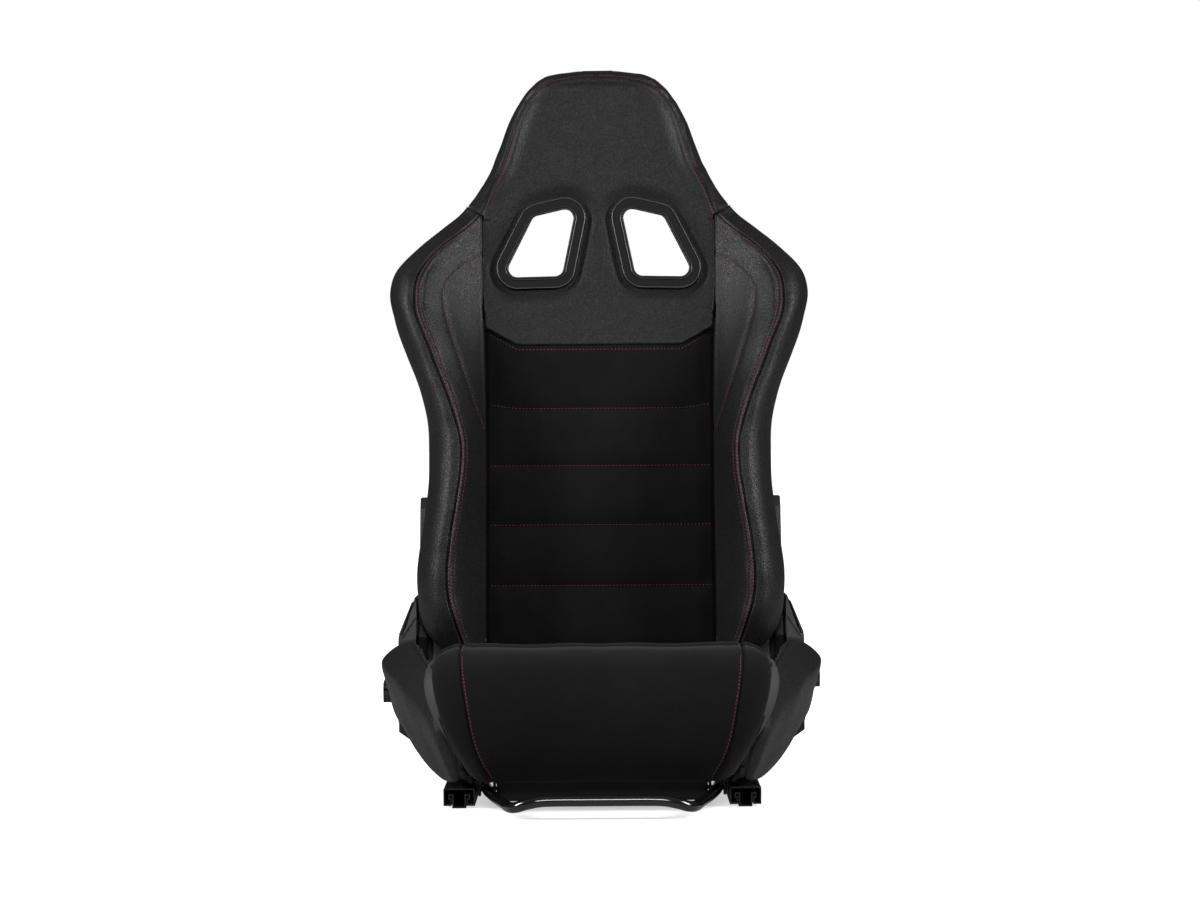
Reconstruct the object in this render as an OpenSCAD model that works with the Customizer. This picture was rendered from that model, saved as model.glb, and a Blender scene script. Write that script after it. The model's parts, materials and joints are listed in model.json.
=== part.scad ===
// Reclining bucket seat on a pair of ball-guided slide rails.
// +Z is up, the seat faces -Y, and the origin is the centre of the four floor bolts.

/* [Overall] */
// Height of the top of the headrest above the floor
seat_h = 945; // [942:1:950]
// Half width between the inner stitch lines of the backrest and cushion
panel_half_w = 154; // [148:1:158]
// Half width of the recliner covers
cover_half_w = 271; // [268:1:274]

/* [Rails] */
// Distance between the centres of the two slide rails
rail_pitch = 345; // [343:1:347]
// Length of each slide rail
rail_len = 430; // [420:1:440]
// Front end of the rails at mid travel
rail_front = -200; // [-205:1:-195]
// Distance between the floor bolts along a rail
bolt_pitch = 320; // [300:1:330]
// Diameter of the floor bolt holes
bolt_hole_d = 8.5; // [8.2:0.1:9]

/* [Recliner] */
// Distance of the recline axis behind the origin
axis_y = 245; // [243:1:247]
// Height of the recline axis
axis_z = 120; // [119:1:121]
// Diameter of the rod that releases both recliners
rod_d = 10; // [9:0.5:11]

/* [Tubes] */
// Outside diameter of the backrest frame tube
frame_tube_d = 22; // [20:1:24]
// Outside diameter of the release bar under the cushion
bar_d = 13; // [11:1:14]

/* [Upholstery] */
// Thickness of the board behind the backrest
rear_board_t = 4; // [3:0.5:5]
// Gap drawn between one pad and the next
pad_gap = 0.4; // [0.3:0.1:0.6]

/* [Hidden] */

$fn = 32;
left = -1;
right = 1;
sides = [left, right];

// Slide rails: the upper channel straddles the lower one
rail_x = rail_pitch / 2;
rail_w = 38;
rail_h = 24;
sheet_t = 1.8;
lower_wall_x = 8.3;
flange_x = 13.2;
flange_z = 17;
flange_lip_z = 10;
lip_x = 10.8;
lip_z = 12.5;
upper_bottom_z = 2.8;
ball_x = (flange_x + rail_w / 2 - sheet_t) / 2;
ball_d = 3.6;
ball_rows_z = [7.5, 17.2];
ball_pitch = 40;
cage_len = 150;
rail_mid = rail_front + rail_len / 2;
notch_pitch = 12;
notch_count = 19;
notch_w = 6;

// Cushion frame
member_inner = 146;
member_outer = 165;
foot_t = 4;
foot_ys = [-100, 165];
member_z = rail_h + foot_t;
member_h = 35;
member_front = -148;
member_back = 262;
pan_z = 66;
cross_tube_d = 25;
front_tube_y = -118;
rear_tube_y = 212;
rear_tube_z = 75.5;

// Release bar and its lock combs
bar_pivot = [141, -150, 17.5];
bar_pin_in = 117;
bar_pin_out = 152;
bar_pin_d = 5;
comb_pivot_x = rail_x - 27;
comb_pivot_z = 12.4;
comb_pin_d = 4;
comb_t = 2;
comb_front = -98;
comb_len = 88;
slide_travel = 105;
stop_pin_y = 15;
stop_pin_d = 8;

// Recliner stack, by distance from the centre plane
arm_x = 226;
arm_t = 6;
hub_x = arm_x + arm_t;
ring_face_x = 239;
plate_x = 246;
plate_t = 4;
ring_r = 38;
boss_r = 32;
run_gap = 0.05;

// Backrest lines, each [height, value]
foam_bottom = 160;
wing_top = 738;
chevron_z = 565;
rear_line = [[150, 284], [700, 353], [780, 364], [860, 371], [905, 372], [945, 366]];
front_line = [[150, 198], [300, 212], [414, 228], [565, 258], [640, 268], [780, 284], [880, 296],
    [915, 303], [935, 316], [945, 336]];
half_width = [[160, 212], [170, 223], [185, 233], [205, 241], [240, 245], [300, 241], [350, 233],
    [400, 229], [450, 230], [500, 240], [550, 259], [600, 276], [640, 282], [670, 273],
    [700, 244], [725, 213], [745, 188], [765, 172], [800, 151], [840, 135], [880, 120],
    [905, 106], [925, 90], [935, 77], [941, 62], [945, 36]];
seam_line = [[160, 178], [190, 188], [228, 199], [262, 202], [300, 199], [360, 190], [400, 184],
    [440, 184], [490, 198], [558, 224], [624, 246], [665, 240], [700, 212], [738, 170]];
crest_line = [[160, 66], [200, 82], [300, 88], [420, 84], [520, 84], [620, 74], [680, 50],
    [738, 14]];
cavity_depth = 34;
lip_w = 26;

// Harness slot, drawn about its own centre, as a core that is grown outwards
slot_z = 705;
slot_core = [[46, 38], [80, 30], [111, -33], [60, -32]];
slot_r = 12;
slot_lean = 7;
flange_grow = 16;
bezel_t = 4;
sleeve_t = 3;
sleeve_len = 22;
tunnel_grow = 12;

// Catmull-Rom curve through hand-placed points
function curve_at(a, b, c, d, t) = 0.5 * ((2 * b) + (c - a) * t
    + (2 * a - 5 * b + 4 * c - d) * t * t + (3 * b - a - 3 * c + d) * t * t * t);
function curve(points, steps) = [
    for (i = [0:len(points) - 2], k = [0:steps - 1])
        curve_at(points[max(i - 1, 0)], points[i], points[i + 1],
            points[min(i + 2, len(points) - 1)], k / steps),
    points[len(points) - 1]];
function reversed(list) = [for (i = [len(list) - 1:-1:0]) list[i]];

// A solid skinned over rings of equal length, which run clockwise seen from the last one
module skin(rings) {
    n = len(rings[0]);
    m = len(rings);
    walls = [for (i = [0:m - 2], k = [0:n - 1])
        let (a = i * n + k, b = i * n + (k + 1) % n)
        each [[a, b, b + n], [a, b + n, a + n]]];
    caps = [[for (k = [n - 1:-1:0]) k], [for (k = [0:n - 1]) (m - 1) * n + k]];
    polyhedron([for (ring = rings) each ring], concat(walls, caps), convexity = 6);
}

// A round bar swept along a path; the ring stays square to the path
function unit(v) = v / norm(v);
function along(path, i) = unit(path[min(i + 1, len(path) - 1)] - path[max(i - 1, 0)]);
function bar_ring(path, i, r, n, flat) = let (t = along(path, i), u = unit(cross(t, flat)),
    v = cross(u, t)) [for (k = [0:n - 1]) path[i] + r * (cos(360 * k / n) * u + sin(360 * k / n) * v)];
module bar(path, d, n = 10, flat = [0, 0, 1]) {
    skin([for (i = [0:len(path) - 1]) bar_ring(path, i, d / 2, n, flat)]);
}
module tube(path, d, wall, n = 12, flat = [0, 1, 0]) {
    outer = [for (i = [0:len(path) - 1]) bar_ring(path, i, d / 2, n, flat)];
    inner = [for (i = [0:len(path) - 1]) bar_ring(path, i, d / 2 - wall, n, flat)];
    m = len(path);
    points = [for (ring = concat(outer, reversed(inner))) each ring];
    faces = [for (i = [0:2 * m - 1], k = [0:n - 1])
        let (j = (i + 1) % (2 * m), a = i * n + k, b = i * n + (k + 1) % n,
            c = j * n + k, d2 = j * n + (k + 1) % n)
        each [[a, b, d2], [a, d2, c]]];
    polyhedron(points, faces, convexity = 8);
}

// Places a shape drawn along +X from the centre plane on one side of the seat
module on_side(side) {
    if (side == right) children();
    else mirror([1, 0, 0]) children();
}
module disc_x(x0, x1, r) {
    translate([x0, 0, 0]) rotate([0, 90, 0]) cylinder(h = x1 - x0, r = r);
}
module at_axis() {
    translate([0, axis_y, axis_z]) children();
}
module plate(x0, t) {
    translate([x0, 0, 0]) rotate([90, 0, 90]) linear_extrude(t) children();
}

// ---------- Rails ----------

// Closes a half outline, drawn from the bottom to the top, with its mirror image
function whole(half) = concat(half, [for (p = reversed(half)) [-p[0], p[1]]]);
module lower_profile() {
    polygon(whole([[lower_wall_x, 0], [lower_wall_x, flange_z - sheet_t],
        [flange_x - sheet_t, flange_z - sheet_t], [flange_x - sheet_t, flange_lip_z],
        [flange_x, flange_lip_z], [flange_x, flange_z], [lower_wall_x - sheet_t, flange_z],
        [lower_wall_x - sheet_t, 2]]));
}
module upper_profile() {
    w = rail_w / 2;
    polygon(whole([[w - sheet_t, rail_h - sheet_t], [w - sheet_t, upper_bottom_z + sheet_t],
        [lip_x, upper_bottom_z + sheet_t], [lip_x, lip_z], [lip_x - 1.6, lip_z],
        [lip_x - 1.6, upper_bottom_z], [w, upper_bottom_z], [w, rail_h - 1.5],
        [w - 1.5, rail_h]]));
}
module along_rail(side) {
    translate([side * rail_x, rail_front + rail_len, 0]) rotate([90, 0, 0])
        linear_extrude(rail_len) children();
}

module lower_rail(side) color("#1b1b1d") difference() {
    along_rail(side) lower_profile();
    for (s = sides) translate([side * rail_x, s * bolt_pitch / 2, -1])
        cylinder(h = 4, d = bolt_hole_d);
    // Row of notches in the hanging lip that faces the centre of the seat
    for (i = [0:notch_count - 1])
        translate([side * (rail_x - flange_x) - 1.8,
            (i - (notch_count - 1) / 2) * notch_pitch - notch_w / 2, flange_lip_z - 1])
            cube([3.6, notch_w, 4.5]);
}

module rail_stop_blocks() color("#2a2a2a") {
    reach = slide_travel + stop_pin_d / 2 + 0.3;
    for (side = sides, e = [-reach - 10, reach])
        translate([side * rail_x - 5.5, stop_pin_y + e, 2]) cube([11, 10, 12]);
}
module rail_stop_pins() color("silver") {
    for (side = sides) translate([side * rail_x, stop_pin_y, 8])
        cylinder(h = rail_h - sheet_t - 8, d = stop_pin_d);
}

module upper_rail(side) color("#1b1b1d") difference() {
    union() {
        along_rail(side) upper_profile();
        // Ears that carry the pivot of the lock comb
        on_side(side) for (y = [comb_front - 3, comb_front + comb_len])
            translate([comb_pivot_x - 4, y, comb_pivot_z - 5])
                cube([rail_x - rail_w / 2 - comb_pivot_x + 5, 3, 10]);
    }
    on_side(side) translate([comb_pivot_x, comb_front - 10, comb_pivot_z]) rotate([-90, 0, 0])
        cylinder(h = comb_len + 20, d = comb_pin_d + 2 * run_gap);
    // Window for the lock comb and holes for the foot bolts
    on_side(side) translate([rail_x - rail_w / 2 - 0.5, comb_front + 4, 6]) cube([3, comb_len - 8, 13]);
    for (y = foot_ys) translate([side * rail_x, y, rail_h - 4]) cylinder(h = 6, d = 8.4);
}

module ball_cage(side) color("#8d8f92") difference() {
    for (s = sides)
        translate([side * rail_x + s * ball_x - 0.7, rail_mid - cage_len / 2, 5.2])
            cube([1.4, cage_len, 14.4]);
    at_balls(side) rotate([0, 90, 0]) cylinder(h = 6, d = ball_d + 0.3, center = true);
    // Open slot between the ball rows, where the teeth of the lock comb pass
    on_side(side) translate([rail_x - ball_x - 1.5, rail_mid - cage_len / 2 - 1, 9.7])
        cube([3, cage_len * 0.62, 5.4]);
}
module at_balls(side) {
    for (s = sides, z = ball_rows_z, i = [-1.5:1.5])
        translate([side * rail_x + s * ball_x, rail_mid + i * ball_pitch, z]) children();
}
module rail_balls() color("silver") {
    for (side = sides) at_balls(side) sphere(d = ball_d);
}

// ---------- Cushion frame ----------

module rail_feet() color("#1b1b1d") {
    for (side = sides, y = foot_ys) difference() {
        translate([side * 166.5 - 20.5, y - 20, rail_h]) cube([41, 40, foot_t]);
        translate([side * rail_x, y, rail_h - 1]) cylinder(h = foot_t + 2, d = 8.4);
    }
}
module rail_foot_bolts() color("silver") {
    for (side = sides, y = foot_ys) translate([side * rail_x, y, 0]) {
        translate([0, 0, flange_z + 1.2]) cylinder(h = rail_h - sheet_t - flange_z - 1.2, r = 6.2);
        translate([0, 0, flange_z + 1.2]) cylinder(h = 21, d = 8);
        translate([0, 0, rail_h + foot_t]) cylinder(h = 6, r = 7, $fn = 6);
    }
}
module side_member(side) color("#161618") {
    on_side(side) difference() {
        translate([member_inner, member_front, member_z])
            cube([member_outer - member_inner, member_back - member_front, member_h]);
        translate([member_inner + 2, member_front - 1, member_z + 2])
            cube([member_outer - member_inner - 4, member_back - member_front + 2, member_h - 4]);
    }
}
module hollow_tube_x(half, d, wall, y, z) {
    translate([0, y, z]) difference() {
        disc_x(-half, half, d / 2);
        disc_x(-half - 1, half + 1, d / 2 - wall);
    }
}
module front_cross_tube() color("#161618") {
    hollow_tube_x(member_inner, cross_tube_d, 2, front_tube_y, member_z + member_h / 2);
}
module rear_cross_tube() color("#161618") {
    hollow_tube_x(plate_x, cross_tube_d, 2, rear_tube_y, rear_tube_z);
}
module seat_pan() color("#161618") difference() {
    translate([-166, member_front, pan_z - 3]) cube([332, 318, 3]);
    for (i = [-1:1], j = [0:2]) translate([i * 100, -80 + j * 90, pan_z - 4])
        cylinder(h = 5, r = 26);
}

// ---------- Cushion ----------

// Side view of the front roll, as [y, z]
nose_line = [[-152, 72], [-152, 184], [-185, 193], [-215, 190], [-240, 174], [-256, 148],
    [-262, 115], [-258, 80], [-248, 50], [-238, 36], [-226, 34], [-210, 44], [-185, 52]];
module nose_side(grow) {
    translate([0, -148, 0]) rotate([90, 0, 0]) linear_extrude(130)
        offset(delta = grow) polygon([[-163, 30], [-166, 62], [-207, 160], [-204, 176], [-190, 188],
            [-165, 194], [165, 194], [190, 188], [204, 176], [207, 160], [166, 62], [163, 30]]);
}
module cushion_nose() color("#1e1e20") intersection() {
    rotate([90, 0, 90]) translate([0, 0, -220]) linear_extrude(440) polygon(nose_line);
    nose_side(0);
}
module cushion_pad() color("#1e1e20") {
    // Dished top, highest behind the front roll
    rotate([90, 0, 90]) translate([0, 0, -167.5]) linear_extrude(335)
        polygon([[-151, pan_z], [-151, 180], [-110, 164], [-50, 145], [20, 132], [90, 126],
            [140, 127], [160, 131], [170, 124], [172, pan_z + 10], [166, pan_z]]);
}
// Cross-sections: y, widest point [x, z], crest [x, z], lower corner [x, z], inner foot z,
// inner shoulder [x, z]
bolster_stations = [
    [-226, [188, 84], [178, 118], [176, 42], 52, [172, 108]],
    [-205, [206, 98], [188, 146], [184, 33], 44, [174, 132]],
    [-165, [225, 118], [204, 166], [197, 34], 44, [176, 150]],
    [-125, [243, 128], [216, 174], [214, 43], 50, [178, 152]],
    [-85, [256, 136], [224, 178], [232, 62], 66, [180, 150]],
    [-35, [270, 143], [230, 179], [248, 84], 68, [184, 144]],
    [15, [280, 149], [234, 180], [262, 106], 70, [186, 138]],
    [60, [283, 150], [238, 180], [264, 106], 72, [190, 134]],
    [105, [271, 150], [247, 176], [256, 104], 74, [212, 134]],
    [150, [264, 146], [249, 172], [250, 100], 76, [214, 132]],
    [186, [252, 138], [246, 156], [242, 100], 80, [214, 128]]];
function bolster_ring(s) = let (y = s[0], wide = s[1], top = s[2], low = s[3], foot = s[4],
    shoulder = s[5], x0 = 168.4) [for (p = [[x0, foot], [x0, min(shoulder[1], 128)], shoulder,
        [blend_x(shoulder[0], top[0], 0.55), blend_x(shoulder[1], top[1], 0.62)], top,
        [blend_x(top[0], wide[0], 0.55), top[1] - 4], [wide[0] - 2, blend_x(top[1], wide[1], 0.6)],
        wide, [blend_x(wide[0], low[0], 0.3), blend_x(wide[1], low[1], 0.4)], low]) [p[0], y, p[1]]];
module cushion_bolster(side) color("#2a2a2c") on_side(side) difference() {
    skin([for (s = bolster_stations) reversed(bolster_ring(s))]);
    nose_side(1);
}

// ---------- Recliner, fixed half ----------

plate_outline = [[197, 58], [205, 46], [283, 46], [293, 58], [293, 132], [282, 162], [262, 172],
    [228, 172], [208, 162], [197, 140]];
module recliner_plate(side) color("#161618") on_side(side) difference() {
    plate(plate_x, plate_t) polygon(plate_outline);
    at_axis() disc_x(plate_x - 1, plate_x + plate_t + 1, 8);
}
module recliner_ring(side) color("#9a9a9a") on_side(side) difference() {
    at_axis() disc_x(ring_face_x, plate_x, ring_r);
    at_axis() disc_x(ring_face_x - 1, ring_face_x + 4, boss_r);
    at_axis() disc_x(ring_face_x, plate_x + 1, rod_d / 2 + run_gap);
}
// Clock spring: one strip wound in a plane
spring_turns = 3.5;
spring_x = 256;
function spring_point(a, r0) = let (r = r0 + 5 * a / 360) [r * cos(a), r * sin(a)];
module recliner_spring(side) color("#5a5a5c") on_side(side) {
    at_axis() plate(spring_x, 7)
        polygon(concat([for (a = [0:15:spring_turns * 360]) spring_point(a, 12)],
            [for (a = [spring_turns * 360:-15:0]) spring_point(a, 14.2)]));
}

// Outer plastic cover: a tray with a sloping top and a chamfered foot
cover_x = 247;
cover_face = [[192, 49], [299, 49], [299, 170], [286, 180], [196, 180], [192, 174]];
cover_foot = [[203, 37], [286, 37], [299, 49], [299, 60], [192, 60], [192, 49]];
cover_peak = [[192, 174], [299, 170], [280, 228], [226, 228], [206, 206]];
module cover_shape(wall) hull() {
    plate(cover_x, cover_half_w - cover_x - wall) offset(delta = -wall) polygon(cover_face);
    plate(cover_x, 11 - wall) offset(delta = -wall) polygon(cover_foot);
    plate(cover_x, 1.4) offset(delta = -wall) polygon(cover_peak);
}
module recliner_cover(side) color("#1a1a1c") on_side(side) difference() {
    cover_shape(0);
    translate([-1, 0, 0]) cover_shape(2.5);
    at_axis() disc_x(plate_x, cover_half_w + 5, 9);
}
screw_points = [[208, 66], [284, 66], [284, 164]];
module cover_screws() color("silver") {
    for (side = sides) on_side(side) for (p = screw_points)
        translate([0, p[0], p[1]]) disc_x(cover_half_w, cover_half_w + 1.6, 4.5);
}

// ---------- Release bar ----------

bar_path = curve([[141, -144, 17.5], [139, -175, 18], [130, -215, 16], [118, -255, 13.5],
    [110, -282, 12], [102, -297, 13.5], [88, -304, 18], [72, -305, 21], [50, -304, 21.5],
    [20, -304, 21.5]], 2);
function mirrored(path) = [for (p = reversed(path)) [-p[0], p[1], p[2]]];
module bar_pin_bore(d) {
    translate([bar_pin_in, bar_pivot[1], bar_pivot[2]]) rotate([0, 90, 0])
        cylinder(h = bar_pin_out - bar_pin_in, d = d);
}
module towel_bar() color("#0e0e10") {
    bar(concat(bar_path, mirrored(bar_path)), bar_d);
    for (side = sides) on_side(side) bar_pin_bore(bar_pin_d);
}
module bar_brackets() color("#1b1b1d") {
    // A clevis under each side member, one ear each side of the bar end
    for (side = sides) on_side(side) difference() {
        translate([130, -158, 9]) cube([30, 16, member_z - 9]);
        translate([133, -159, 8]) cube([15, 18, 17.6]);
        translate([151, -159, 8]) cube([10, 18, 17.6]);
        bar_pin_bore(bar_pin_d + 2 * run_gap);
    }
}
function coil_point(r, pitch, a) = [r * cos(a), r * sin(a), pitch * a / 360];
module bar_return_springs() color("silver") {
    for (side = sides) translate([side * 124, -150, 17.5]) rotate([0, 90, 0])
        translate([0, 0, -4]) bar([for (a = [0:30:1080]) coil_point(5, 2.4, a)], 1.4, 6, [0, 0, 1]);
}
module lock_comb(side) color("#9a9a9a") on_side(side) {
    // A pivoted plate whose teeth stand just clear of the rail's notches when it is released
    tip = rail_x - flange_x - 0.8;
    translate([comb_pivot_x, comb_front + 6, comb_pivot_z - comb_t / 2])
        cube([rail_x - rail_w / 2 - comb_pivot_x - 1, comb_len - 12, comb_t]);
    for (i = [-2:2]) translate([comb_pivot_x, -54 + i * notch_pitch - 2, comb_pivot_z - comb_t / 2])
        cube([tip - comb_pivot_x, 4, comb_t]);
    translate([comb_pivot_x, comb_front - 3, comb_pivot_z]) rotate([-90, 0, 0])
        cylinder(h = comb_len + 6, d = comb_pin_d);
}

// ---------- Backrest frame ----------

function board_y(z) = lookup(z, rear_line);
function tube_y(z) = board_y(z) - rear_board_t - frame_tube_d / 2 - 3;
arm_outline = [[210, 120], [212, 170], [238, 240], [262, 344], [272, 358], [308, 358], [318, 344],
    [306, 240], [286, 160], [280, 120]];
module recliner_arm(side) color("#161618") on_side(side) difference() {
    union() {
        plate(arm_x, arm_t) polygon(arm_outline);
        at_axis() disc_x(arm_x, arm_x + arm_t, ring_r);
    }
    at_axis() disc_x(arm_x - 1, arm_x + arm_t + 1, 16);
}
module recliner_hub(side) color("#8a8a8a") on_side(side) at_axis() difference() {
    union() {
        disc_x(hub_x, ring_face_x - 0.4, ring_r);
        disc_x(hub_x, ring_face_x + 3.5, boss_r - run_gap);
    }
    disc_x(hub_x - 1, ring_face_x + 5, 7);
}
// Plastic shield over the arm: deep beside the recliner, thin above it
module arm_cover(side) color("#1a1a1c") on_side(side) difference() {
    union() {
        plate(hub_x, plate_x - hub_x - 0.6)
            polygon([[204, 176], [228, 228], [240, 244], [306, 244], [292, 176]]);
        plate(hub_x, 12.4) polygon([[230, 228], [262, 346], [272, 360], [310, 360], [322, 346],
            [306, 228]]);
    }
    at_axis() disc_x(hub_x - 1, plate_x, ring_r + 4);
    // Chamfer along the upper edge
    translate([hub_x + 12.4, 290, 366]) rotate([0, 45, 0]) cube([20, 120, 20], center = true);
}
tube_x = 186;
arm_tube_zs = [200, 335];
shoulder_tube_z = 590;
hoop_knee_z = 628;
module back_cross_tubes() color("#161618") {
    for (z = arm_tube_zs) hollow_tube_x(arm_x, frame_tube_d, 2, tube_y(z), z);
    hollow_tube_x(tube_x - frame_tube_d / 2, 16, 1.5, tube_y(shoulder_tube_z), shoulder_tube_z);
}
module back_tube(side) color("#161618") {
    tube([for (z = [190, hoop_knee_z]) [side * tube_x, tube_y(z), z]], frame_tube_d, 2, 16);
}
hoop_half = curve([[tube_x, hoop_knee_z + 1], [178, 650], [132, 752], [104, 812], [84, 846], [56, 868],
    [20, 876]], 2);
module head_hoop() color("#161618") {
    half = [for (p = hoop_half) [p[0], tube_y(p[1]), p[1]]];
    tube(concat(half, mirrored(half)), frame_tube_d, 2, 12);
}
// Zigzag wires across the backrest frame
module back_springs() color("#9a9a9a") {
    reach = tube_x - frame_tube_d / 2;
    for (z = [250, 300, 385, 435, 485, 535]) {
        zig = [for (i = [0:24]) [-reach + 2 * reach * i / 24, tube_y(z) - 2, z + (i % 2 ? 12 : -12)]];
        bar(zig, 3, 6, [0, 1, 0]);
    }
}

// ---------- Backrest pads ----------

function pad_y(z) = lookup(z, front_line);
function wide(z) = lookup(z, half_width);
function seam(z) = lookup(z, seam_line);
function crest(z) = lookup(z, crest_line);
function blend_x(a, b, t) = a + (b - a) * t;

// Horizontal slice of one side bolster, from the inner seam round to the back lip
function bolster_slice(z) = let (x0 = panel_half_w + pad_gap, y = pad_y(z), c = crest(z),
    s = seam(z), w = wide(z), r = board_y(z))
    [for (p = [[x0, y], [blend_x(x0, s, 0.45), y - 0.55 * c], [blend_x(x0, s, 0.85), y - 0.94 * c],
        [blend_x(s, w, 0.12), y - c], [blend_x(s, w, 0.45), y - 0.9 * c],
        [blend_x(s, w, 0.82), y - 0.6 * c], [w, y - 0.18 * c], [w - 1, (y + r) / 2],
        [w - 8, r - 14], [w - lip_w + 2, r - 1], [w - lip_w, r - cavity_depth],
        [x0, r - cavity_depth]])
        [p[0], p[1], z]];
function keys(line, low, high) = [for (p = line) if (p[0] > low && p[0] < high) p[0]];
wing_levels = concat([foam_bottom], keys(half_width, foam_bottom, wing_top), [wing_top]);
module tube_holes() {
    for (z = arm_tube_zs) translate([0, tube_y(z), z]) disc_x(150, 240, frame_tube_d / 2 + 1);
}
module back_bolster(side) color("#232325") on_side(side) difference() {
    skin([for (z = wing_levels) reversed(bolster_slice(z))]);
    // Room for the recliner arm and the parts around it
    translate([arm_x - 3, 188, 100]) cube([60, 160, 140]);
    translate([arm_x - 3, 226, 239]) cube([60, 160, 129]);
    tube_holes();
}

function pad_slice(z, half) = let (f = pad_y(z), r = board_y(z) - cavity_depth)
    [[-half, f, z], [half, f, z], [half, r, z], [-half, r, z]];
module back_pad() color("#161617") {
    skin([for (z = concat([foam_bottom], keys(front_line, foam_bottom, chevron_z - 1),
        [chevron_z - pad_gap])) reversed(pad_slice(z, panel_half_w))]);
}

// Horizontal slice of the shoulder panel or, above the wings, of the crowned head
function head_half(z) = let (f = pad_y(z), r = board_y(z), w = z > wing_top ? wide(z) : panel_half_w,
    e = z > wing_top ? min(40, (r - f) * 0.55) : 0,
    back = z > wing_top ? [[w - 5, r - 12], [max(w - lip_w + 2, w / 2), r - 1],
        [max(w - lip_w + 2, w / 2) - 0.5, r - rear_board_t - 0.5]]
        : [[w, r - cavity_depth - 9], [w, r - cavity_depth], [w - 20, r - cavity_depth]])
    concat([[0, f], [0.55 * w, f + e / 40], [0.8 * w, f + 0.2 * e], [0.94 * w, f + 0.55 * e],
        [w, f + e]], back);
function head_ring(z) = let (half = head_half(z))
    [for (p = concat(half, [for (i = [len(half) - 1:-1:1]) [-half[i][0], half[i][1]]]))
        [p[0], p[1], z]];
head_levels = concat([chevron_z, 640, 700, wing_top, wing_top + pad_gap],
    keys(half_width, wing_top + 1, seat_h - 1), [seat_h]);
module head_pad() color("#232325") difference() {
    skin([for (z = head_levels) reversed(head_ring(z))]);
    head_cavity();
    for (side = sides) in_slot(side) {
        slot_prism(sleeve_t + 1, 160);
        slot_prism(tunnel_grow, 100, -100 - sleeve_len);
        slot_prism(flange_grow + 1, 10, -3.5);
    }
}
// Hollow behind the head foam, open downwards, where the hoop runs
module head_cavity() {
    skin([for (z = [734, 742, 765, 800, 840, 870, 893]) let (w = wide(z) - lip_w, r = board_y(z),
        f = r - cavity_depth + (z < 742 ? 1.5 : 0))
        reversed([[-w, f, z], [w, f, z], [w, r + 5, z], [-w, r + 5, z]])]);
}

// ---------- Harness slots ----------

module slot_shape(grow) {
    offset(r = slot_r + grow, $fn = 24) polygon(slot_core);
}
// Local frame of a slot: x across, y up the backrest, z out of its front
module in_slot(side) {
    on_side(side) translate([0, pad_y(slot_z), slot_z]) rotate([90 - slot_lean, 0, 0]) children();
}
module slot_prism(grow, depth, from = undef) {
    translate([0, 0, from == undef ? -depth / 2 : from]) linear_extrude(depth) slot_shape(grow);
}
module front_bezel(side) color("#0c0c0e") in_slot(side) difference() {
    union() {
        slot_prism(flange_grow, bezel_t, -3);
        slot_prism(sleeve_t, sleeve_len - 2, 1 - sleeve_len);
    }
    slot_prism(0, 100);
}
rear_depth = (board_y(slot_z) - pad_y(slot_z)) * cos(slot_lean) + 1.5;
module rear_bezel(side) color("#0c0c0e") in_slot(side) difference() {
    union() {
        slot_prism(tunnel_grow + 14, bezel_t, -rear_depth - bezel_t);
        slot_prism(tunnel_grow - 1, 20, -rear_depth);
    }
    slot_prism(tunnel_grow - 4, 300);
}

function board_slice(z) = let (w = wide(z) - lip_w + 1, r = board_y(z))
    [[-w, r - rear_board_t, z], [w, r - rear_board_t, z], [w, r, z], [-w, r, z]];
module rear_board() color("#232325") difference() {
    skin([for (z = concat([166], keys(half_width, 166, 930), [930])) reversed(board_slice(z))]);
    for (side = sides) in_slot(side) slot_prism(tunnel_grow, 300);
}

// ---------- Release rod and levers ----------

lever_x0 = 273;
lever_x1 = 286;
module sync_rod() color("#9a9a9a") at_axis() disc_x(-lever_x1, lever_x1, rod_d / 2);
module lever(side, drop) color("#0e0e10") on_side(side) at_axis() rotate([drop, 0, 0]) {
    difference() {
        plate(lever_x0, lever_x1 - lever_x0)
            polygon([[17, -6], [15, 9], [6, 16], [-20, 15], [-110, 13], [-126, 11], [-130, 0],
                [-126, -13], [-105, -12], [-20, -12], [6, -16]]);
        disc_x(lever_x0 - 1, lever_x1 + 1, rod_d / 2);
    }
}
module lever_caps() color("#0e0e10") {
    for (side = sides) on_side(side) at_axis() disc_x(lever_x1, lever_x1 + 2.5, 8);
}

lower_rail(left);  // lower_rail_left
lower_rail(right);  // lower_rail_right
ball_cage(left);  // ball_cage_left
ball_cage(right);  // ball_cage_right
rail_balls();
rail_stop_blocks();
upper_rail(left);  // upper_rail_left
upper_rail(right);  // upper_rail_right
rail_stop_pins();
rail_feet();
rail_foot_bolts();
bar_brackets();
bar_return_springs();
side_member(left);  // side_member_left
side_member(right);  // side_member_right
front_cross_tube();
rear_cross_tube();
seat_pan();
cushion_nose();
cushion_pad();
cushion_bolster(left);  // cushion_bolster_left
cushion_bolster(right);  // cushion_bolster_right
recliner_plate(left);  // recliner_plate_left
recliner_plate(right);  // recliner_plate_right
recliner_ring(left);  // recliner_ring_left
recliner_ring(right);  // recliner_ring_right
recliner_spring(left);  // recliner_spring_left
recliner_spring(right);  // recliner_spring_right
recliner_cover(left);  // recliner_cover_left
recliner_cover(right);  // recliner_cover_right
cover_screws();
towel_bar();
lock_comb(left);  // lock_comb_left
lock_comb(right);  // lock_comb_right
recliner_hub(left);  // recliner_hub_left
recliner_hub(right);  // recliner_hub_right
recliner_arm(left);  // recliner_arm_left
recliner_arm(right);  // recliner_arm_right
arm_cover(left);  // arm_cover_left
arm_cover(right);  // arm_cover_right
back_cross_tubes();
back_tube(left);  // back_tube_left
back_tube(right);  // back_tube_right
head_hoop();
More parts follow.
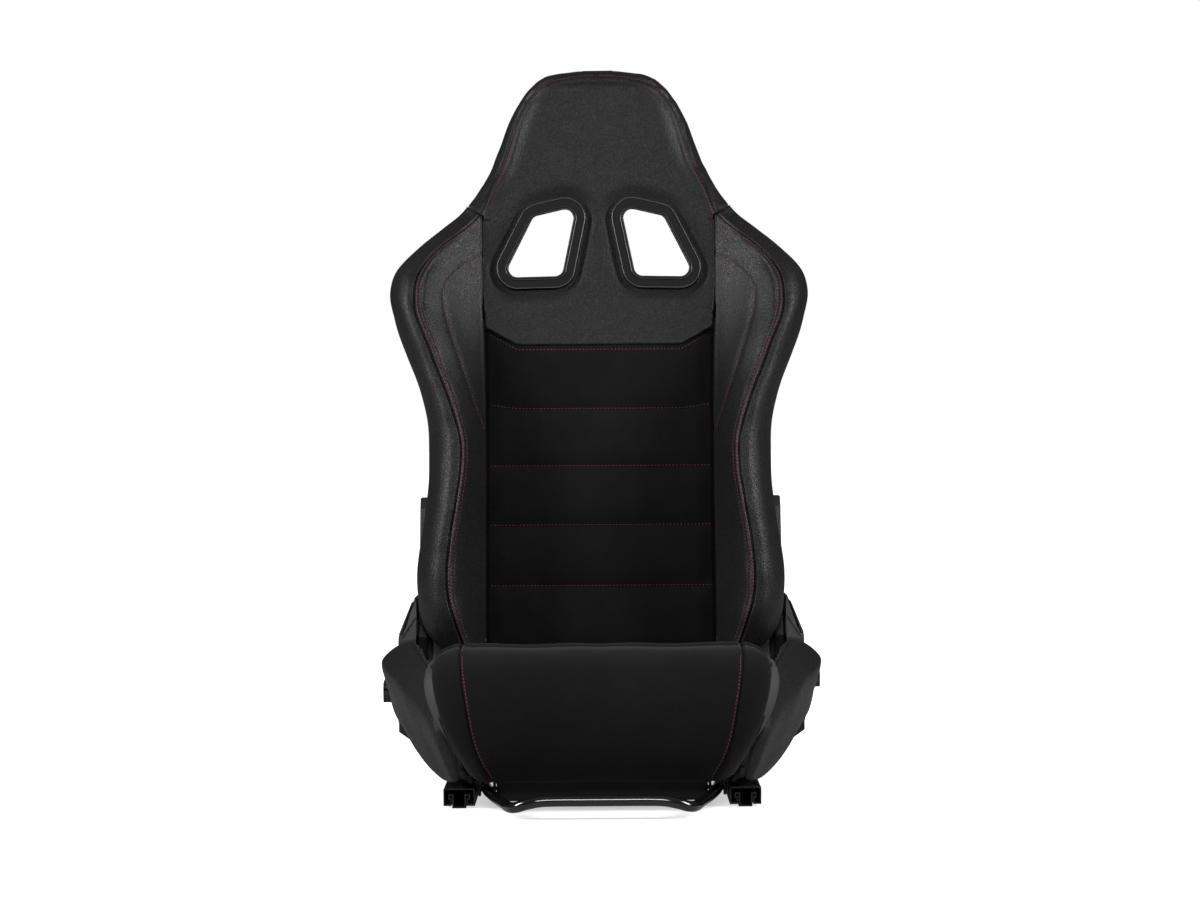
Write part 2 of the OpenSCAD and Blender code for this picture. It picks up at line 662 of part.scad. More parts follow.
back_springs();
back_pad();
head_pad();
back_bolster(left);  // back_bolster_left
back_bolster(right);  // back_bolster_right
rear_board();
front_bezel(left);  // front_bezel_left
front_bezel(right);  // front_bezel_right
rear_bezel(left);  // rear_bezel_left
rear_bezel(right);  // rear_bezel_right
sync_rod();
lever(left, 4.5);  // lever_left
lever(right, -3.5);  // lever_right
lever_caps();
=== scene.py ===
"""Looks of a reclining bucket seat on slide rails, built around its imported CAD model.

Outlines are in millimetres, as the CAD model has them, and meshes are made in metres.
"""

import json
import math

import bmesh
import bpy
import numpy as np
from mathutils import Matrix, Vector
from mathutils.bvhtree import BVHTree


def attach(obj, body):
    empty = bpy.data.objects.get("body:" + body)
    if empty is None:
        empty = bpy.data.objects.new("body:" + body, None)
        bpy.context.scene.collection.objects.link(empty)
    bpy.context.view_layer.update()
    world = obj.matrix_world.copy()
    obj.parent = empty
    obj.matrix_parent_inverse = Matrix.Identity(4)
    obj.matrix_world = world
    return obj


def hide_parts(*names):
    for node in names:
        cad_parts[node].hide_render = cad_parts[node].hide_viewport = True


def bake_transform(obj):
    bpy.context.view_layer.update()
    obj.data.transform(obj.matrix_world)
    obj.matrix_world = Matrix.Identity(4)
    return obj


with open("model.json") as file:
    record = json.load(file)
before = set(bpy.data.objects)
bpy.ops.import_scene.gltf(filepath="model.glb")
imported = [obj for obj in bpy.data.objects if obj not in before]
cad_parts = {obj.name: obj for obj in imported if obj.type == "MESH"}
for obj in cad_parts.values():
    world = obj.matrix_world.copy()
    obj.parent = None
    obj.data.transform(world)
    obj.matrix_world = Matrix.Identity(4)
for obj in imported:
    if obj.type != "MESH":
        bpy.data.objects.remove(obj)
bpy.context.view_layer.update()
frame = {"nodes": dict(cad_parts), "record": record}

MM = 0.001
SIDES = {"left": -1, "right": 1}
MIRROR = np.array([-1, 1, 1])

# ---------- Driving dimensions, as in the CAD model ----------

SEAT_H = 945
PANEL_HALF_W = 154
PAD_GAP = 0.2
FOAM_BOTTOM = 160
WING_TOP = 738
LIP_W = 26
CAVITY_DEPTH = 34
AXIS_Y, AXIS_Z = 245, 120
SLOT_Z, SLOT_LEAN, SLOT_R = 705, math.radians(7), 12
# Inner and outer faces of the side plates, as distances from the middle of the seat
SHIELD_X, LOW_ARM_X, ARM_X, LEVER_X = (213.5, 225.4), (232.2, 245.2), (232.0, 244.4), (273, 286)
SLOT_CORE = [(46, 35), (80, 27), (110.5, -34), (60, -33)]
CORNER_POINTS = 11
SLOT_POINTS = CORNER_POINTS * len(SLOT_CORE)
FLANGE_GROW, SLEEVE_LEN, TUNNEL_GROW, REAR_SLOT_RISE = 16, 22, 12, 6

# Backrest lines, each (height, value)
REAR_LINE = [(150, 284), (700, 353), (780, 364), (860, 371), (905, 372), (945, 366)]
FRONT_LINE = [(150, 198), (300, 212), (414, 228), (565, 258), (640, 268), (780, 284), (880, 296),
              (908, 299.5), (926, 303.5), (937, 312), (945, 333)]
HALF_WIDTH = [(160, 212), (170, 223), (185, 233), (205, 241), (240, 245), (300, 241), (350, 233),
              (400, 229), (450, 230), (500, 240), (550, 259), (600, 276), (640, 282), (670, 273),
              (700, 244), (725, 213), (745, 188), (765, 172), (800, 151), (840, 135), (880, 120),
              (905, 106), (925, 90), (935, 77), (941, 62), (945, 36)]
SEAM_LINE = [(160, 178), (190, 188), (228, 199), (262, 202), (300, 199), (360, 190), (400, 184),
             (440, 184), (490, 198), (558, 224), (624, 246), (665, 240), (700, 213), (725, 182),
             (745, 161)]
CREST_LINE = [(160, 66), (200, 82), (300, 88), (420, 84), (520, 84), (620, 74), (680, 50),
              (725, 18), (745, 4), (757, 3)]
HEAD_SEAM = [(738, 157.5), (746, 159), (756, 155.5), (780, 147), (822, 127), (878, 112), (905, 98),
             (922, 82), (931, 64), (936, 44), (939, 20), (940, 0)]
HEAD_SEAM_PATH = [(x, height) for height, x in HEAD_SEAM]
# Seams as (x, height) points
WING_STITCH = [(154, 692), (182, 675), (203, 652), (209, 636), (206, 612), (199, 585), (176, 515),
               (155, 451)]
REAR_SEAMS = [[(132, 168), (132, 600), (0, 640)], [(0, 800), (150, 800)]]
# Horizontal seams of the centre panel, each (side height, centre height), from the top
CHANNEL_SEAMS = [(589, 565), (485, 479), (402, 402), (323, 323), (242, 242)]
SHOULDER_SEAM = CHANNEL_SEAMS[0]
CHEVRON_X = 111
PUFF = 6.5


def smooth_line(points):
    """A smooth function through given (place, value) points."""
    xs = np.array([p[0] for p in points], float)
    ys = np.array([p[1] for p in points], float)
    slope = np.gradient(ys, xs)

    def value(x):
        x = np.clip(np.asarray(x, float), xs[0], xs[-1])
        i = np.clip(np.searchsorted(xs, x) - 1, 0, len(xs) - 2)
        h = xs[i + 1] - xs[i]
        t = (x - xs[i]) / h
        return ((1 + 2 * t) * (1 - t) ** 2 * ys[i] + t * (1 - t) ** 2 * h * slope[i]
                + t * t * (3 - 2 * t) * ys[i + 1] + t * t * (t - 1) * h * slope[i + 1])
    return value


board_y = smooth_line(REAR_LINE)
pad_y = smooth_line(FRONT_LINE)
half_w = smooth_line(HALF_WIDTH)
seam_x = smooth_line(SEAM_LINE)
crest = smooth_line(CREST_LINE)
panel_w = smooth_line([(150, 154), (520, 154), (640, 156.5), (740, 157.2)])


def mix(a, b, t):
    return a + (b - a) * t


def spread(count):
    """Places from -1 to 1, closer together near both ends."""
    return np.sin(np.linspace(-math.pi / 2, math.pi / 2, count))


def smoothstep(low, high, x):
    t = np.clip((x - low) / (high - low), 0, 1)
    return t * t * (3 - 2 * t)


def sampled(points, counts):
    """Rows of control points (rows, points, n) sampled along smooth curves through them."""
    p = np.concatenate([2 * points[:, :1] - points[:, 1:2], points,
                        2 * points[:, -1:] - points[:, -2:-1]], axis=1)
    parts = []
    for i, count in enumerate(counts):
        a, b, c, d = (p[:, i + k][:, None] for k in range(4))
        t = np.linspace(0, 1, count, endpoint=False)[None, :, None]
        parts.append(0.5 * (2 * b + (c - a) * t + (2 * a - 5 * b + 4 * c - d) * t ** 2
                            + (3 * b - a - 3 * c + d) * t ** 3))
    return np.concatenate(parts + [points[:, -1:]], axis=1)


def spline(points, steps):
    """Points along a smooth curve through given ones."""
    points = np.array(points, float)
    return sampled(points[None], [steps] * (len(points) - 1))[0]


# ---------- Materials ----------

class Look:
    """A material, or the world, whose procedural nodes are added by short calls."""

    def __init__(self, owner):
        owner.use_nodes = True
        self.owner, self.tree = owner, owner.node_tree
        self.coordinates = self.tree.nodes.new("ShaderNodeTexCoord").outputs
        self.place = self.coordinates["Object"]

    def wire(self, node, inputs):
        """Links or sets inputs of a node."""
        for key, value in inputs.items():
            if isinstance(value, bpy.types.NodeSocket):
                self.tree.links.new(value, node.inputs[key])
            else:
                node.inputs[key].default_value = value

    def add(self, kind, output, inputs, **settings):
        node = self.tree.nodes.new("ShaderNode" + kind)
        for key, value in settings.items():
            setattr(node, key, value)
        self.wire(node, inputs)
        return node.outputs[output]

    def stretched(self, scale):
        return self.add("Mapping", "Vector", {"Scale": scale, "Vector": self.place})

    def noise(self, scale, detail=3.0, rough=0.55, place=None):
        return self.add("TexNoise", "Fac", {"Scale": scale, "Detail": detail, "Roughness": rough,
                                            "Vector": place or self.place})

    def remap(self, value, low, high, from_low=0.3, from_high=0.7):
        return self.add("MapRange", "Result", {"Value": value, "To Min": low, "To Max": high,
                                               "From Min": from_low, "From Max": from_high})

    def mixed(self, factor, a, b):
        return self.add("Mix", 0, {"Factor": factor, 2: a, 3: b})

    def tint(self, value, dark, light):
        ramp = self.tree.nodes.new("ShaderNodeValToRGB")
        for element, position, color in zip(ramp.color_ramp.elements, (0.3, 0.7), (dark, light)):
            element.position, element.color = position, (*color, 1)
        self.wire(ramp, {"Fac": value})
        return ramp.outputs["Color"]

    def finished(self, inputs, layers=(), bevel=0.0):
        """Feeds the shader; layers are (height, depth in metres) bumps, bevel rounds edges."""
        normal = {}
        if bevel:
            normal = {"Normal": self.add("Bevel", "Normal", {"Radius": bevel}, samples=4)}
        for height, depth in layers:
            bump = {"Strength": 1.0, "Distance": depth, "Height": height, **normal}
            normal = {"Normal": self.add("Bump", "Normal", bump)}
        self.wire(self.tree.nodes["Principled BSDF"], {**inputs, **normal})
        return self.owner


def new_look(name):
    return Look(bpy.data.materials.new(name))


def leatherette(name, dark, light):
    look = new_look(name)
    cells = look.add("TexVoronoi", "Distance", {"Scale": 330, "Vector": look.place},
                     feature="DISTANCE_TO_EDGE")
    speck = look.noise(400, 2, 0.6)
    grain = look.mixed(0.85, look.noise(7, 4), speck)
    return look.finished({"Base Color": look.tint(grain, dark, light),
                          "Roughness": look.remap(grain, 0.54, 0.34), "Specular IOR Level": 0.26},
                         [(look.remap(cells, 0, 1, 0.0, 0.28), 0.00016), (speck, 0.00014),
                          (look.noise(1100), 0.00008), (look.noise(60, 5, 0.62), 0.0002)])


def suede(name, dark, light):
    look = new_look(name)
    nap = look.noise(14, 5, 0.6, look.stretched((1, 1, 0.55)))
    fibre = look.noise(1900, 3, 0.7, look.stretched((1, 1, 0.4)))
    speck = look.noise(620, 3, 0.7)
    return look.finished({"Base Color": look.tint(look.mixed(0.45, nap, speck), dark, light),
                          "Roughness": 0.95, "Specular IOR Level": 0.12, "Sheen Weight": 0.055,
                          "Sheen Roughness": 0.45}, [(fibre, 0.00022), (speck, 0.0003)])


def moulded(name, dark, light, rough, depth, scale=900, coat=0.0, bevel=0.0, shine=0.5):
    """Plastic, paint or plain cloth: a fine texture, uneven gloss and a little dust."""
    look = new_look(name)
    broad = look.noise(16, 4)
    return look.finished({"Base Color": look.tint(broad, dark, light),
                          "Roughness": look.remap(broad, rough * 0.88, rough * 1.12),
                          "Specular IOR Level": shine, "Coat Weight": coat, "Coat Roughness": 0.08},
                         [(look.noise(scale, 2), depth)], bevel)


def metal(name, dark, light, rough):
    """Plated or bare steel with fine drawing marks."""
    look = new_look(name)
    streaks = look.noise(1500, 2, place=look.stretched((1, 0.08, 1)))
    return look.finished({"Base Color": look.tint(look.noise(40, 4), dark, light), "Metallic": 1.0,
                          "Roughness": look.remap(streaks, rough * 0.8, rough * 1.25)},
                         [(streaks, 0.00003)], 0.0003)


def thread(name, dark, light):
    look = new_look(name)
    twist = look.noise(2400, 2)
    return look.finished({"Base Color": look.tint(twist, dark, light), "Roughness": 0.6,
                          "Sheen Weight": 0.1}, [(twist, 0.00008)])


LEATHER = leatherette("grained_leatherette", (0.0012, 0.0012, 0.0013), (0.018, 0.018, 0.019))
PIPING = leatherette("edge_roll_leatherette", (0.016, 0.016, 0.017), (0.036, 0.036, 0.038))
STRIP = moulded("gusset_cloth", (0.026, 0.026, 0.028), (0.040, 0.040, 0.043), 0.72, 0.00012, 1500)
SUEDE = suede("microsuede", (0.0035, 0.0035, 0.0038), (0.0085, 0.0085, 0.009))
REAR_CLOTH = leatherette("rear_leatherette", (0.004, 0.004, 0.0043), (0.018, 0.018, 0.019))
THREAD = thread("stitch_thread", (0.085, 0.012, 0.017), (0.19, 0.030, 0.040))
# Near-black cloth for the sheet under the front roll: painted shade standing in for the shade under
# the seat
PAINTED_SHADE_CLOTH = moulded("painted_shade_fabric", (0.010, 0.010, 0.0105), (0.015, 0.015, 0.016), 0.85, 0.00015,
                      1400)
COVER = moulded("cover_plastic", (0.012, 0.012, 0.0128), (0.018, 0.018, 0.019), 0.48, 0.00007, 1300)
BEZEL = moulded("bezel_plastic", (0.0075, 0.0075, 0.008), (0.0105, 0.0105, 0.011), 0.6, 0.00003,
                1300, shine=0.14)
# Lighter colour for the rims of the front trims: a painted highlight
BEZEL_HIGHLIGHT_PAINT = moulded("bezel_painted_highlight", (0.035, 0.035, 0.036), (0.05, 0.05, 0.052), 0.3, 0.00001, 1300)
GLOSS = moulded("gloss_black_paint", (0.004, 0.004, 0.0045), (0.006, 0.006, 0.0065), 0.16, 0.00001,
                400, coat=0.6)
RAIL_PAINT = moulded("rail_paint", (0.004, 0.004, 0.0045), (0.006, 0.006, 0.0065), 0.34, 0.00004,
                     700, bevel=0.0004)
FRAME_PAINT = moulded("powder_coat", (0.009, 0.009, 0.0095), (0.013, 0.013, 0.0135), 0.5, 0.00008,
                      800, bevel=0.0005)
CAGE = moulded("cage_plastic", (0.20, 0.20, 0.21), (0.27, 0.27, 0.28), 0.5, 0.00004, 900)
ZINC = metal("zinc_plated_steel", (0.42, 0.42, 0.43), (0.60, 0.60, 0.61), 0.32)
SPRING_STEEL = metal("spring_steel", (0.22, 0.22, 0.23), (0.34, 0.34, 0.35), 0.38)

SLOT_MATERIAL = {"rail_steel": RAIL_PAINT, "bare_steel": ZINC, "frame_paint": FRAME_PAINT,
                 "gloss_black": GLOSS, "cage_plastic": CAGE, "cover_plastic": COVER,
                 "bezel_plastic": BEZEL, "suede": SUEDE, "leatherette": LEATHER,
                 "rear_leatherette": REAR_CLOTH}
for part in frame["record"]["subparts"]:
    materials = frame["nodes"][part["node"]].data.materials
    materials.clear()
    materials.append(SLOT_MATERIAL[part["material_slot"]])
for node_name in ("back_springs", "recliner_spring_left", "recliner_spring_right"):
    frame["nodes"][node_name].data.materials[0] = SPRING_STEEL
frame["nodes"]["bar_return_springs"].data.materials[0] = RAIL_PAINT


# ---------- Mesh helpers ----------

def in_scene(name, data):
    """A new object that shows the data, linked into the scene."""
    obj = bpy.data.objects.new(name, data)
    bpy.context.scene.collection.objects.link(obj)
    return obj


def piece(name, vertices, faces, material, body, **ties):
    """A smooth mesh given in millimetres becomes a piece on a body, standing for CAD nodes."""
    mesh = bpy.data.meshes.new(name)
    mesh.from_pydata((np.asarray(vertices, float).reshape(-1, 3) * MM).tolist(), [], faces)
    mesh.validate()
    bm = bmesh.new()
    bm.from_mesh(mesh)
    bmesh.ops.remove_doubles(bm, verts=bm.verts, dist=1e-6)
    bmesh.ops.recalc_face_normals(bm, faces=bm.faces)
    for face in bm.faces:
        face.smooth = True
    bm.to_mesh(mesh)
    bm.free()
    return dress(in_scene(name, mesh), material, body, **ties)


def dress(obj, material, body, replaces=(), slot=None, fill=None):
    """Gives a piece its material, its body and the CAD nodes it stands for."""
    obj.data.materials.append(material)
    if body:
        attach(obj, body)
    if replaces:
        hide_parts(*replaces)
    return obj


def grid_faces(rows, cols, wrap=False):
    """Quads over a grid of rows by cols points; wrap closes each row on itself."""
    index = np.arange(rows * cols).reshape(rows, cols)
    if wrap:
        index = np.hstack([index, index[:, :1]])
    quads = np.stack([index[:-1, :-1], index[:-1, 1:], index[1:, 1:], index[1:, :-1]], axis=-1)
    return quads.reshape(-1, 4).tolist()


def ring_faces(rows, cols):
    """A closed skin over rings, with both ends filled."""
    return grid_faces(rows, cols, True) + [list(range(cols))[::-1],
                                           [(rows - 1) * cols + k for k in range(cols)]]


def grid_normals(grid, wrap=False):
    """Unit normals at the points of a grid; wrap joins the ends of each row."""
    along = np.gradient(grid, axis=0)
    if wrap:
        across = (np.roll(grid, -1, axis=1) - np.roll(grid, 1, axis=1)) / 2
    else:
        across = np.gradient(grid, axis=1)
    normal = np.cross(along, across)
    return normal / np.maximum(np.linalg.norm(normal, axis=-1, keepdims=True), 1e-9)


def distance_to(places, path):
    """Distance of each (x, z) place to a path of (x, z) points."""
    best = np.full(places.shape[:-1], 1e9)
    for a, b in zip(path[:-1], path[1:]):
        a, b = np.asarray(a, float), np.asarray(b, float)
        d = b - a
        t = np.clip(((places - a) @ d) / max(d @ d, 1e-9), 0, 1)
        best = np.minimum(best, np.linalg.norm(places - a - t[..., None] * d, axis=-1))
    return best


def ripple(places, size, seed):
    """Smooth uneven heights between -1 and 1, with bumps about size across."""
    rng = np.random.default_rng(seed)
    total = np.zeros(places.shape[:-1])
    for _ in range(7):
        angle, phase = rng.uniform(0, 2 * math.pi, 2)
        wave = 2 * math.pi / (size * rng.uniform(0.8, 1.7))
        total += np.sin(wave * (places[..., 0] * math.cos(angle) + places[..., 1] * math.sin(angle))
                        + phase)
    return total / 3.2


def rounded_end(z, low, high, r):
    """How far a soft body draws in near its flat ends."""
    d = np.clip(np.minimum(z - low, high - z), 0, r)
    return r - np.sqrt(np.maximum(r * r - (r - d) ** 2, 0))


def levels(low, high, step, end=10, fine=7):
    """Heights from low to high, closer together near both ends."""
    edge = end * (1 - np.cos(np.linspace(0, math.pi / 2, fine)))
    middle = np.linspace(low + end, high - end, max(2, int((high - low - 2 * end) / step)))[1:-1]
    return np.concatenate([low + edge, middle, (high - edge)[::-1]])


# ---------- Stitching ----------

STITCH_LENGTH, STITCH_WIDTH, STITCH_PITCH, STITCH_SIDES = 2.9, 1.1, 4.8, 6
STITCH_LEAN, STITCH_FLATNESS, STITCH_PROUD = 0.06, 0.8, 0.12
FAR = 2000
# One stitch, a small spindle along X: each ring is (place along it, share of its width)
STITCH_RINGS = [(-0.5, 0.35), (-0.34, 0.9), (0.0, 1.0), (0.34, 0.9), (0.5, 0.35)]
stitch_shape = np.array([(f * STITCH_LENGTH, r * STITCH_WIDTH / 2 * math.cos(a),
                          r * STITCH_WIDTH / 2 * math.sin(a)) for f, r in STITCH_RINGS
                         for a in [2 * math.pi * k / STITCH_SIDES for k in range(STITCH_SIDES)]])
stitch_faces = ring_faces(len(STITCH_RINGS), STITCH_SIDES)


def tree_of(obj):
    """A search tree over a mesh, in millimetres."""
    return BVHTree.FromPolygons([v.co / MM for v in obj.data.vertices],
                                [list(p.vertices) for p in obj.data.polygons])


def on_surface(tree, path, toward):
    """Moves each point of a path along a direction onto the surface; gives points and normals."""
    start, found = Vector(toward) * -FAR, []
    for point in path:
        hit, normal, _, _ = tree.ray_cast(Vector(point) + start, Vector(toward))
        if hit is not None:
            if normal.dot(Vector(toward)) > 0:
                normal = -normal
            found.append((np.array(hit), np.array(normal)))
    return found


def resampled(path, step):
    """Points at even steps along a path."""
    p = np.asarray(path, float)
    length = np.concatenate([[0], np.cumsum(np.linalg.norm(np.diff(p, axis=0), axis=1))])
    marks = np.arange(0, length[-1], step)
    return np.stack([np.interp(marks, length, p[:, k]) for k in range(p.shape[1])], axis=1)


def offset_path(path, gap):
    """A path of (x, z) points moved sideways by gap."""
    p = np.asarray(path, float)
    t = np.gradient(p, axis=0)
    t /= np.maximum(np.linalg.norm(t, axis=1, keepdims=True), 1e-9)
    return p + gap * np.stack([-t[:, 1], t[:, 0]], axis=1)


def sew(name, body, rows, size=1.0):
    """Stitches along rows, each (tree, path of xyz points, direction to look along)."""
    points, faces = [], []
    for tree, path, toward in rows:
        found = on_surface(tree, resampled(path, 1.0), toward)
        if len(found) < 8:
            continue
        hits, normals = (np.array(values) for values in zip(*found))
        line = resampled(hits, STITCH_PITCH)
        for a, b in zip(line[:-1], line[1:]):
            length = np.linalg.norm(b - a)
            if length > 1.6 * STITCH_PITCH:
                continue
            middle = (a + b) / 2
            n = normals[np.argmin(np.linalg.norm(hits - middle, axis=1))]
            t = (b - a) / max(length, 1e-9)
            side = np.cross(n, t)
            x, y, z = (stitch_shape * size).T[..., None]
            faces += [[len(points) + i for i in f] for f in stitch_faces]
            points += (middle + x * (t + STITCH_LEAN * side) + y * side + z * n * STITCH_FLATNESS
                       + n * STITCH_PROUD).tolist()
    return piece(name, points, faces, THREAD, body)


def strand(name, path, d, material, body, sides=10, **ties):
    """A round bead along a path of xyz points, such as a piping."""
    p = np.asarray(path, float)
    along = np.gradient(p, axis=0)
    along /= np.linalg.norm(along, axis=1, keepdims=True)
    up = np.array([0.0, 0.0, 1.0]) if abs(along[0][2]) < 0.9 else np.array([0.0, 1.0, 0.0])
    rings = []
    for point, t in zip(p, along):
        u = np.cross(t, up)
        u /= np.linalg.norm(u)
        up = np.cross(u, t)
        rings.append([point + d / 2 * (math.cos(a) * u + math.sin(a) * up)
                      for a in np.linspace(0, 2 * math.pi, sides, endpoint=False)])
    return piece(name, rings, ring_faces(len(rings), sides), material, body, **ties)


def stacked(z, points):
    """Control points of slices at the heights z, each given as (x, y), shaped (rows, points, 3)."""
    return np.stack([np.stack([x + 0 * z, y + 0 * z, z], axis=-1) for x, y in points], axis=1)


def arc_from(grid, column):
    """Signed distance of each grid point along its row from one column."""
    step = np.linalg.norm(np.diff(grid, axis=1), axis=-1)
    total = np.concatenate([np.zeros((len(grid), 1)), np.cumsum(step, axis=1)], axis=1)
    return total - total[:, column:column + 1]


def groove(distance, depth, radius):
    """Height of a sewn groove at a distance from its line."""
    return -depth * np.exp(-(distance / radius) ** 2)


def facing(normals, column, toward):
    """Turns normals so that one column of them points toward a direction."""
    return normals * np.sign((normals[:, column] @ np.array(toward, float)).sum())


# ---------- Backrest ----------

STITCH_BAND = 8.5


def shoulder_lift(x):
    """How far the shoulder's top seam stands above WING_TOP at x: it climbs outwards."""
    return np.clip(6 + 0.62 * (x - 159), 2, 24)


def wing_controls(z):
    """Places (x, y) round one slice of a side bolster, starting in the seam beside the panel."""
    x0, y, c = panel_w(z) + PAD_GAP, pad_y(z), crest(z)
    s, w, r = seam_x(z), half_w(z), board_y(z)
    front = [(x0 + 2, y + 14), (x0 - 0.2, y + 3), (x0 + 2.2, y - 1.5 - 0.03 * c),
             (mix(x0, s, 0.3), y - 0.38 * c), (mix(x0, s, 0.62), y - 0.75 * c),
             (mix(x0, s, 0.87), y - 0.955 * c)]
    roll = [(s, y - c), (mix(s, w, 0.14), y - 1.01 * c), (mix(s, w, 0.38), y - 0.97 * c),
            (mix(s, w, 0.66), y - 0.82 * c), (mix(s, w, 0.89), y - 0.55 * c), (w, y - 0.15 * c),
            (w, mix(y, r, 0.4)), (w - 2.5, mix(y, r, 0.74)), (w - 9, r - 11), (w - 17, r - 2.6),
            (w - LIP_W + 1.2, r - 0.8)]
    back = [(w - LIP_W - 0.4, r - 7), (w - LIP_W - 0.6, r - CAVITY_DEPTH),
            (mix(w - LIP_W, x0, 0.5), r - CAVITY_DEPTH), (x0 + 3, r - CAVITY_DEPTH)]
    return front + roll + back


def lifted_slices(z, controls):
    """Slices whose upper ends climb along the shoulder seam, with each outline point kept."""
    share = smoothstep(620, WING_TOP, z)
    columns = []
    for k in range(len(controls(z))):
        height = z
        for _ in range(14):
            x, y = controls(height)[k]
            height = mix(height, z + shoulder_lift(x) * share, 0.5)
        x, y = controls(height)[k]
        columns.append(np.stack([x, y, height], axis=-1))
    return np.stack(columns, axis=1)


def wing(side_name):
    """One side bolster of the backrest: inner panel, top-stitched seam, outer roll and back lip."""
    z = levels(FOAM_BOTTOM, WING_TOP, 2.4, end=8)
    control = lifted_slices(z, wing_controls)
    counts = [4, 4, 9, 12, 12, 11, 7, 9, 11, 11, 10, 8, 8, 7, 6, 6, 3, 3, 3, 3]
    grid = sampled(control, counts)
    seam = sum(counts[:6])
    normals = facing(grid_normals(grid), seam, (0, -1, 0))
    d = arc_from(grid, seam)
    places = grid[..., [0, 2]]
    along = np.stack([places[..., 1], d], axis=-1)
    near_top = 1 - smoothstep(WING_TOP - 60, WING_TOP - 8, z)[:, None]
    two_rows = 1 - smoothstep(655, 680, z)[:, None]
    band = smoothstep(-STITCH_BAND - 2, -STITCH_BAND, d) * (1 - smoothstep(-2.4, -0.8, d))
    height = (groove(d, 2.6, 1.7)
              + two_rows * (1.5 * band - 0.5 * np.exp(-((d + STITCH_BAND + 2) / 2.2) ** 2))
              + groove(distance_to(places, WING_STITCH), 1.1, 2.6)
              + 0.55 * ripple(along, 30, 3) * np.exp(-np.abs(d) / 20) * near_top
              + 0.5 * ripple(along, 75, 5) * near_top * smoothstep(155, 172, places[..., 0]))
    edge = arc_from(grid, sum(counts[:2]))
    height += 1.0 * np.exp(-((edge - 0.6) / 1.5) ** 2)
    visible = np.arange(grid.shape[1]) < sum(counts[:15])
    grid = grid + normals * (height * visible)[..., None]
    grid = grid - normals * rounded_end(z, FOAM_BOTTOM, WING_TOP, 3.5)[:, None, None]
    grid[..., 0] *= SIDES[side_name]
    return piece(f"wing_{side_name}", grid, ring_faces(*grid.shape[:2]), LEATHER, "backrest",
                 replaces=[f"back_bolster_{side_name}"], slot="leatherette", fill=0.85)


def chevron_z(x, seam):
    """Height of a panel seam at x: level in the middle, rising to its side height."""
    side_z, middle_z = seam
    return middle_z + (side_z - middle_z) * np.clip((np.abs(x) - CHEVRON_X) /
                                                    (PANEL_HALF_W - CHEVRON_X), 0, 1)


# Share of the head's full set-back against the share of its half width
HEAD_ROLL = smooth_line([(0, 0), (0.3, 0.004), (0.55, 0.03), (0.8, 0.2), (0.91, 0.44), (0.97, 0.7),
                         (1, 1)])
HEAD_GROW, HEAD_COLUMNS, HEAD_SWELL = 6.0, 171, 1.1
# Height where the head starts to turn over to its flat top
HEAD_TURN = 922


def slot_corners(grow):
    """The slot's outline grown outwards, as (x, y) points round its rounded corners."""
    core = np.array(SLOT_CORE, float)
    r, points = SLOT_R + grow, []
    for i, corner in enumerate(core):
        before, after = core[i - 1] - corner, core[(i + 1) % len(core)] - corner
        start = math.atan2(-before[0], before[1])
        turn = math.atan2(after[0], -after[1]) - start
        turn = (turn + math.pi) % (2 * math.pi) - math.pi
        for a in start + turn * np.linspace(0, 1, CORNER_POINTS):
            points.append(corner + r * np.array([math.cos(a), math.sin(a)]))
    return np.array(points)


def slot_place(points, depth, side):
    """Points of a slot's own plane, at a height out of its front, in the seat's frame."""
    x, y = np.asarray(points)[..., 0], np.asarray(points)[..., 1]
    y = y + REAR_SLOT_RISE * np.clip((-depth - SLEEVE_LEN) / 45, 0, 1)
    c, s = math.cos(SLOT_LEAN), math.sin(SLOT_LEAN)
    return np.stack([side * x, pad_y(SLOT_Z) - depth * c + y * s, SLOT_Z + y * c + depth * s],
                    axis=-1)


def slot_distance(x, z, grow=0):
    """Signed distance of (x, z) places outside the slot's outline."""
    places = np.stack([np.abs(x), (z - SLOT_Z) / math.cos(SLOT_LEAN)], axis=-1)
    outline = slot_corners(0)
    distance = distance_to(places, np.vstack([outline, outline[:1]]))
    inside = np.ones(distance.shape, bool)
    for a, b in zip(outline, np.roll(outline, -1, axis=0)):
        cross = (b[0] - a[0]) * (places[..., 1] - a[1]) - (b[1] - a[1]) * (places[..., 0] - a[0])
        inside &= cross <= 1e-6
    return np.where(inside, -distance, distance) - grow


def open_faces(grid, grow, drop=0, columns=None):
    """Quads over a grid, without those (in the given columns) that cover the grown slots."""
    faces = np.array(grid_faces(*grid.shape[:2]))
    centre = grid.reshape(-1, 3)[faces].mean(axis=1)
    hole = slot_distance(centre[:, 0], centre[:, 2] + drop) < grow
    if columns is not None:
        hole &= np.isin(np.arange(len(faces)) % (grid.shape[1] - 1), columns)
    return faces[~hole].tolist()


def face_forward(obj, toward=(0, -1, 0)):
    """Turns the faces of an open skin so that most point toward a direction."""
    if sum(p.area * p.normal.dot(Vector(toward)) for p in obj.data.polygons) < 0:
        obj.data.flip_normals()


def thicken(obj, thickness):
    """Gives an open skin a thickness behind its face."""
    modifier = obj.modifiers.new("skin", "SOLIDIFY")
    modifier.thickness = thickness * MM
    modifier.offset = -1
    bpy.context.view_layer.update()
    mesh = bpy.data.meshes.new_from_object(obj.evaluated_get(bpy.context.evaluated_depsgraph_get()))
    obj.modifiers.clear()
    obj.data = mesh


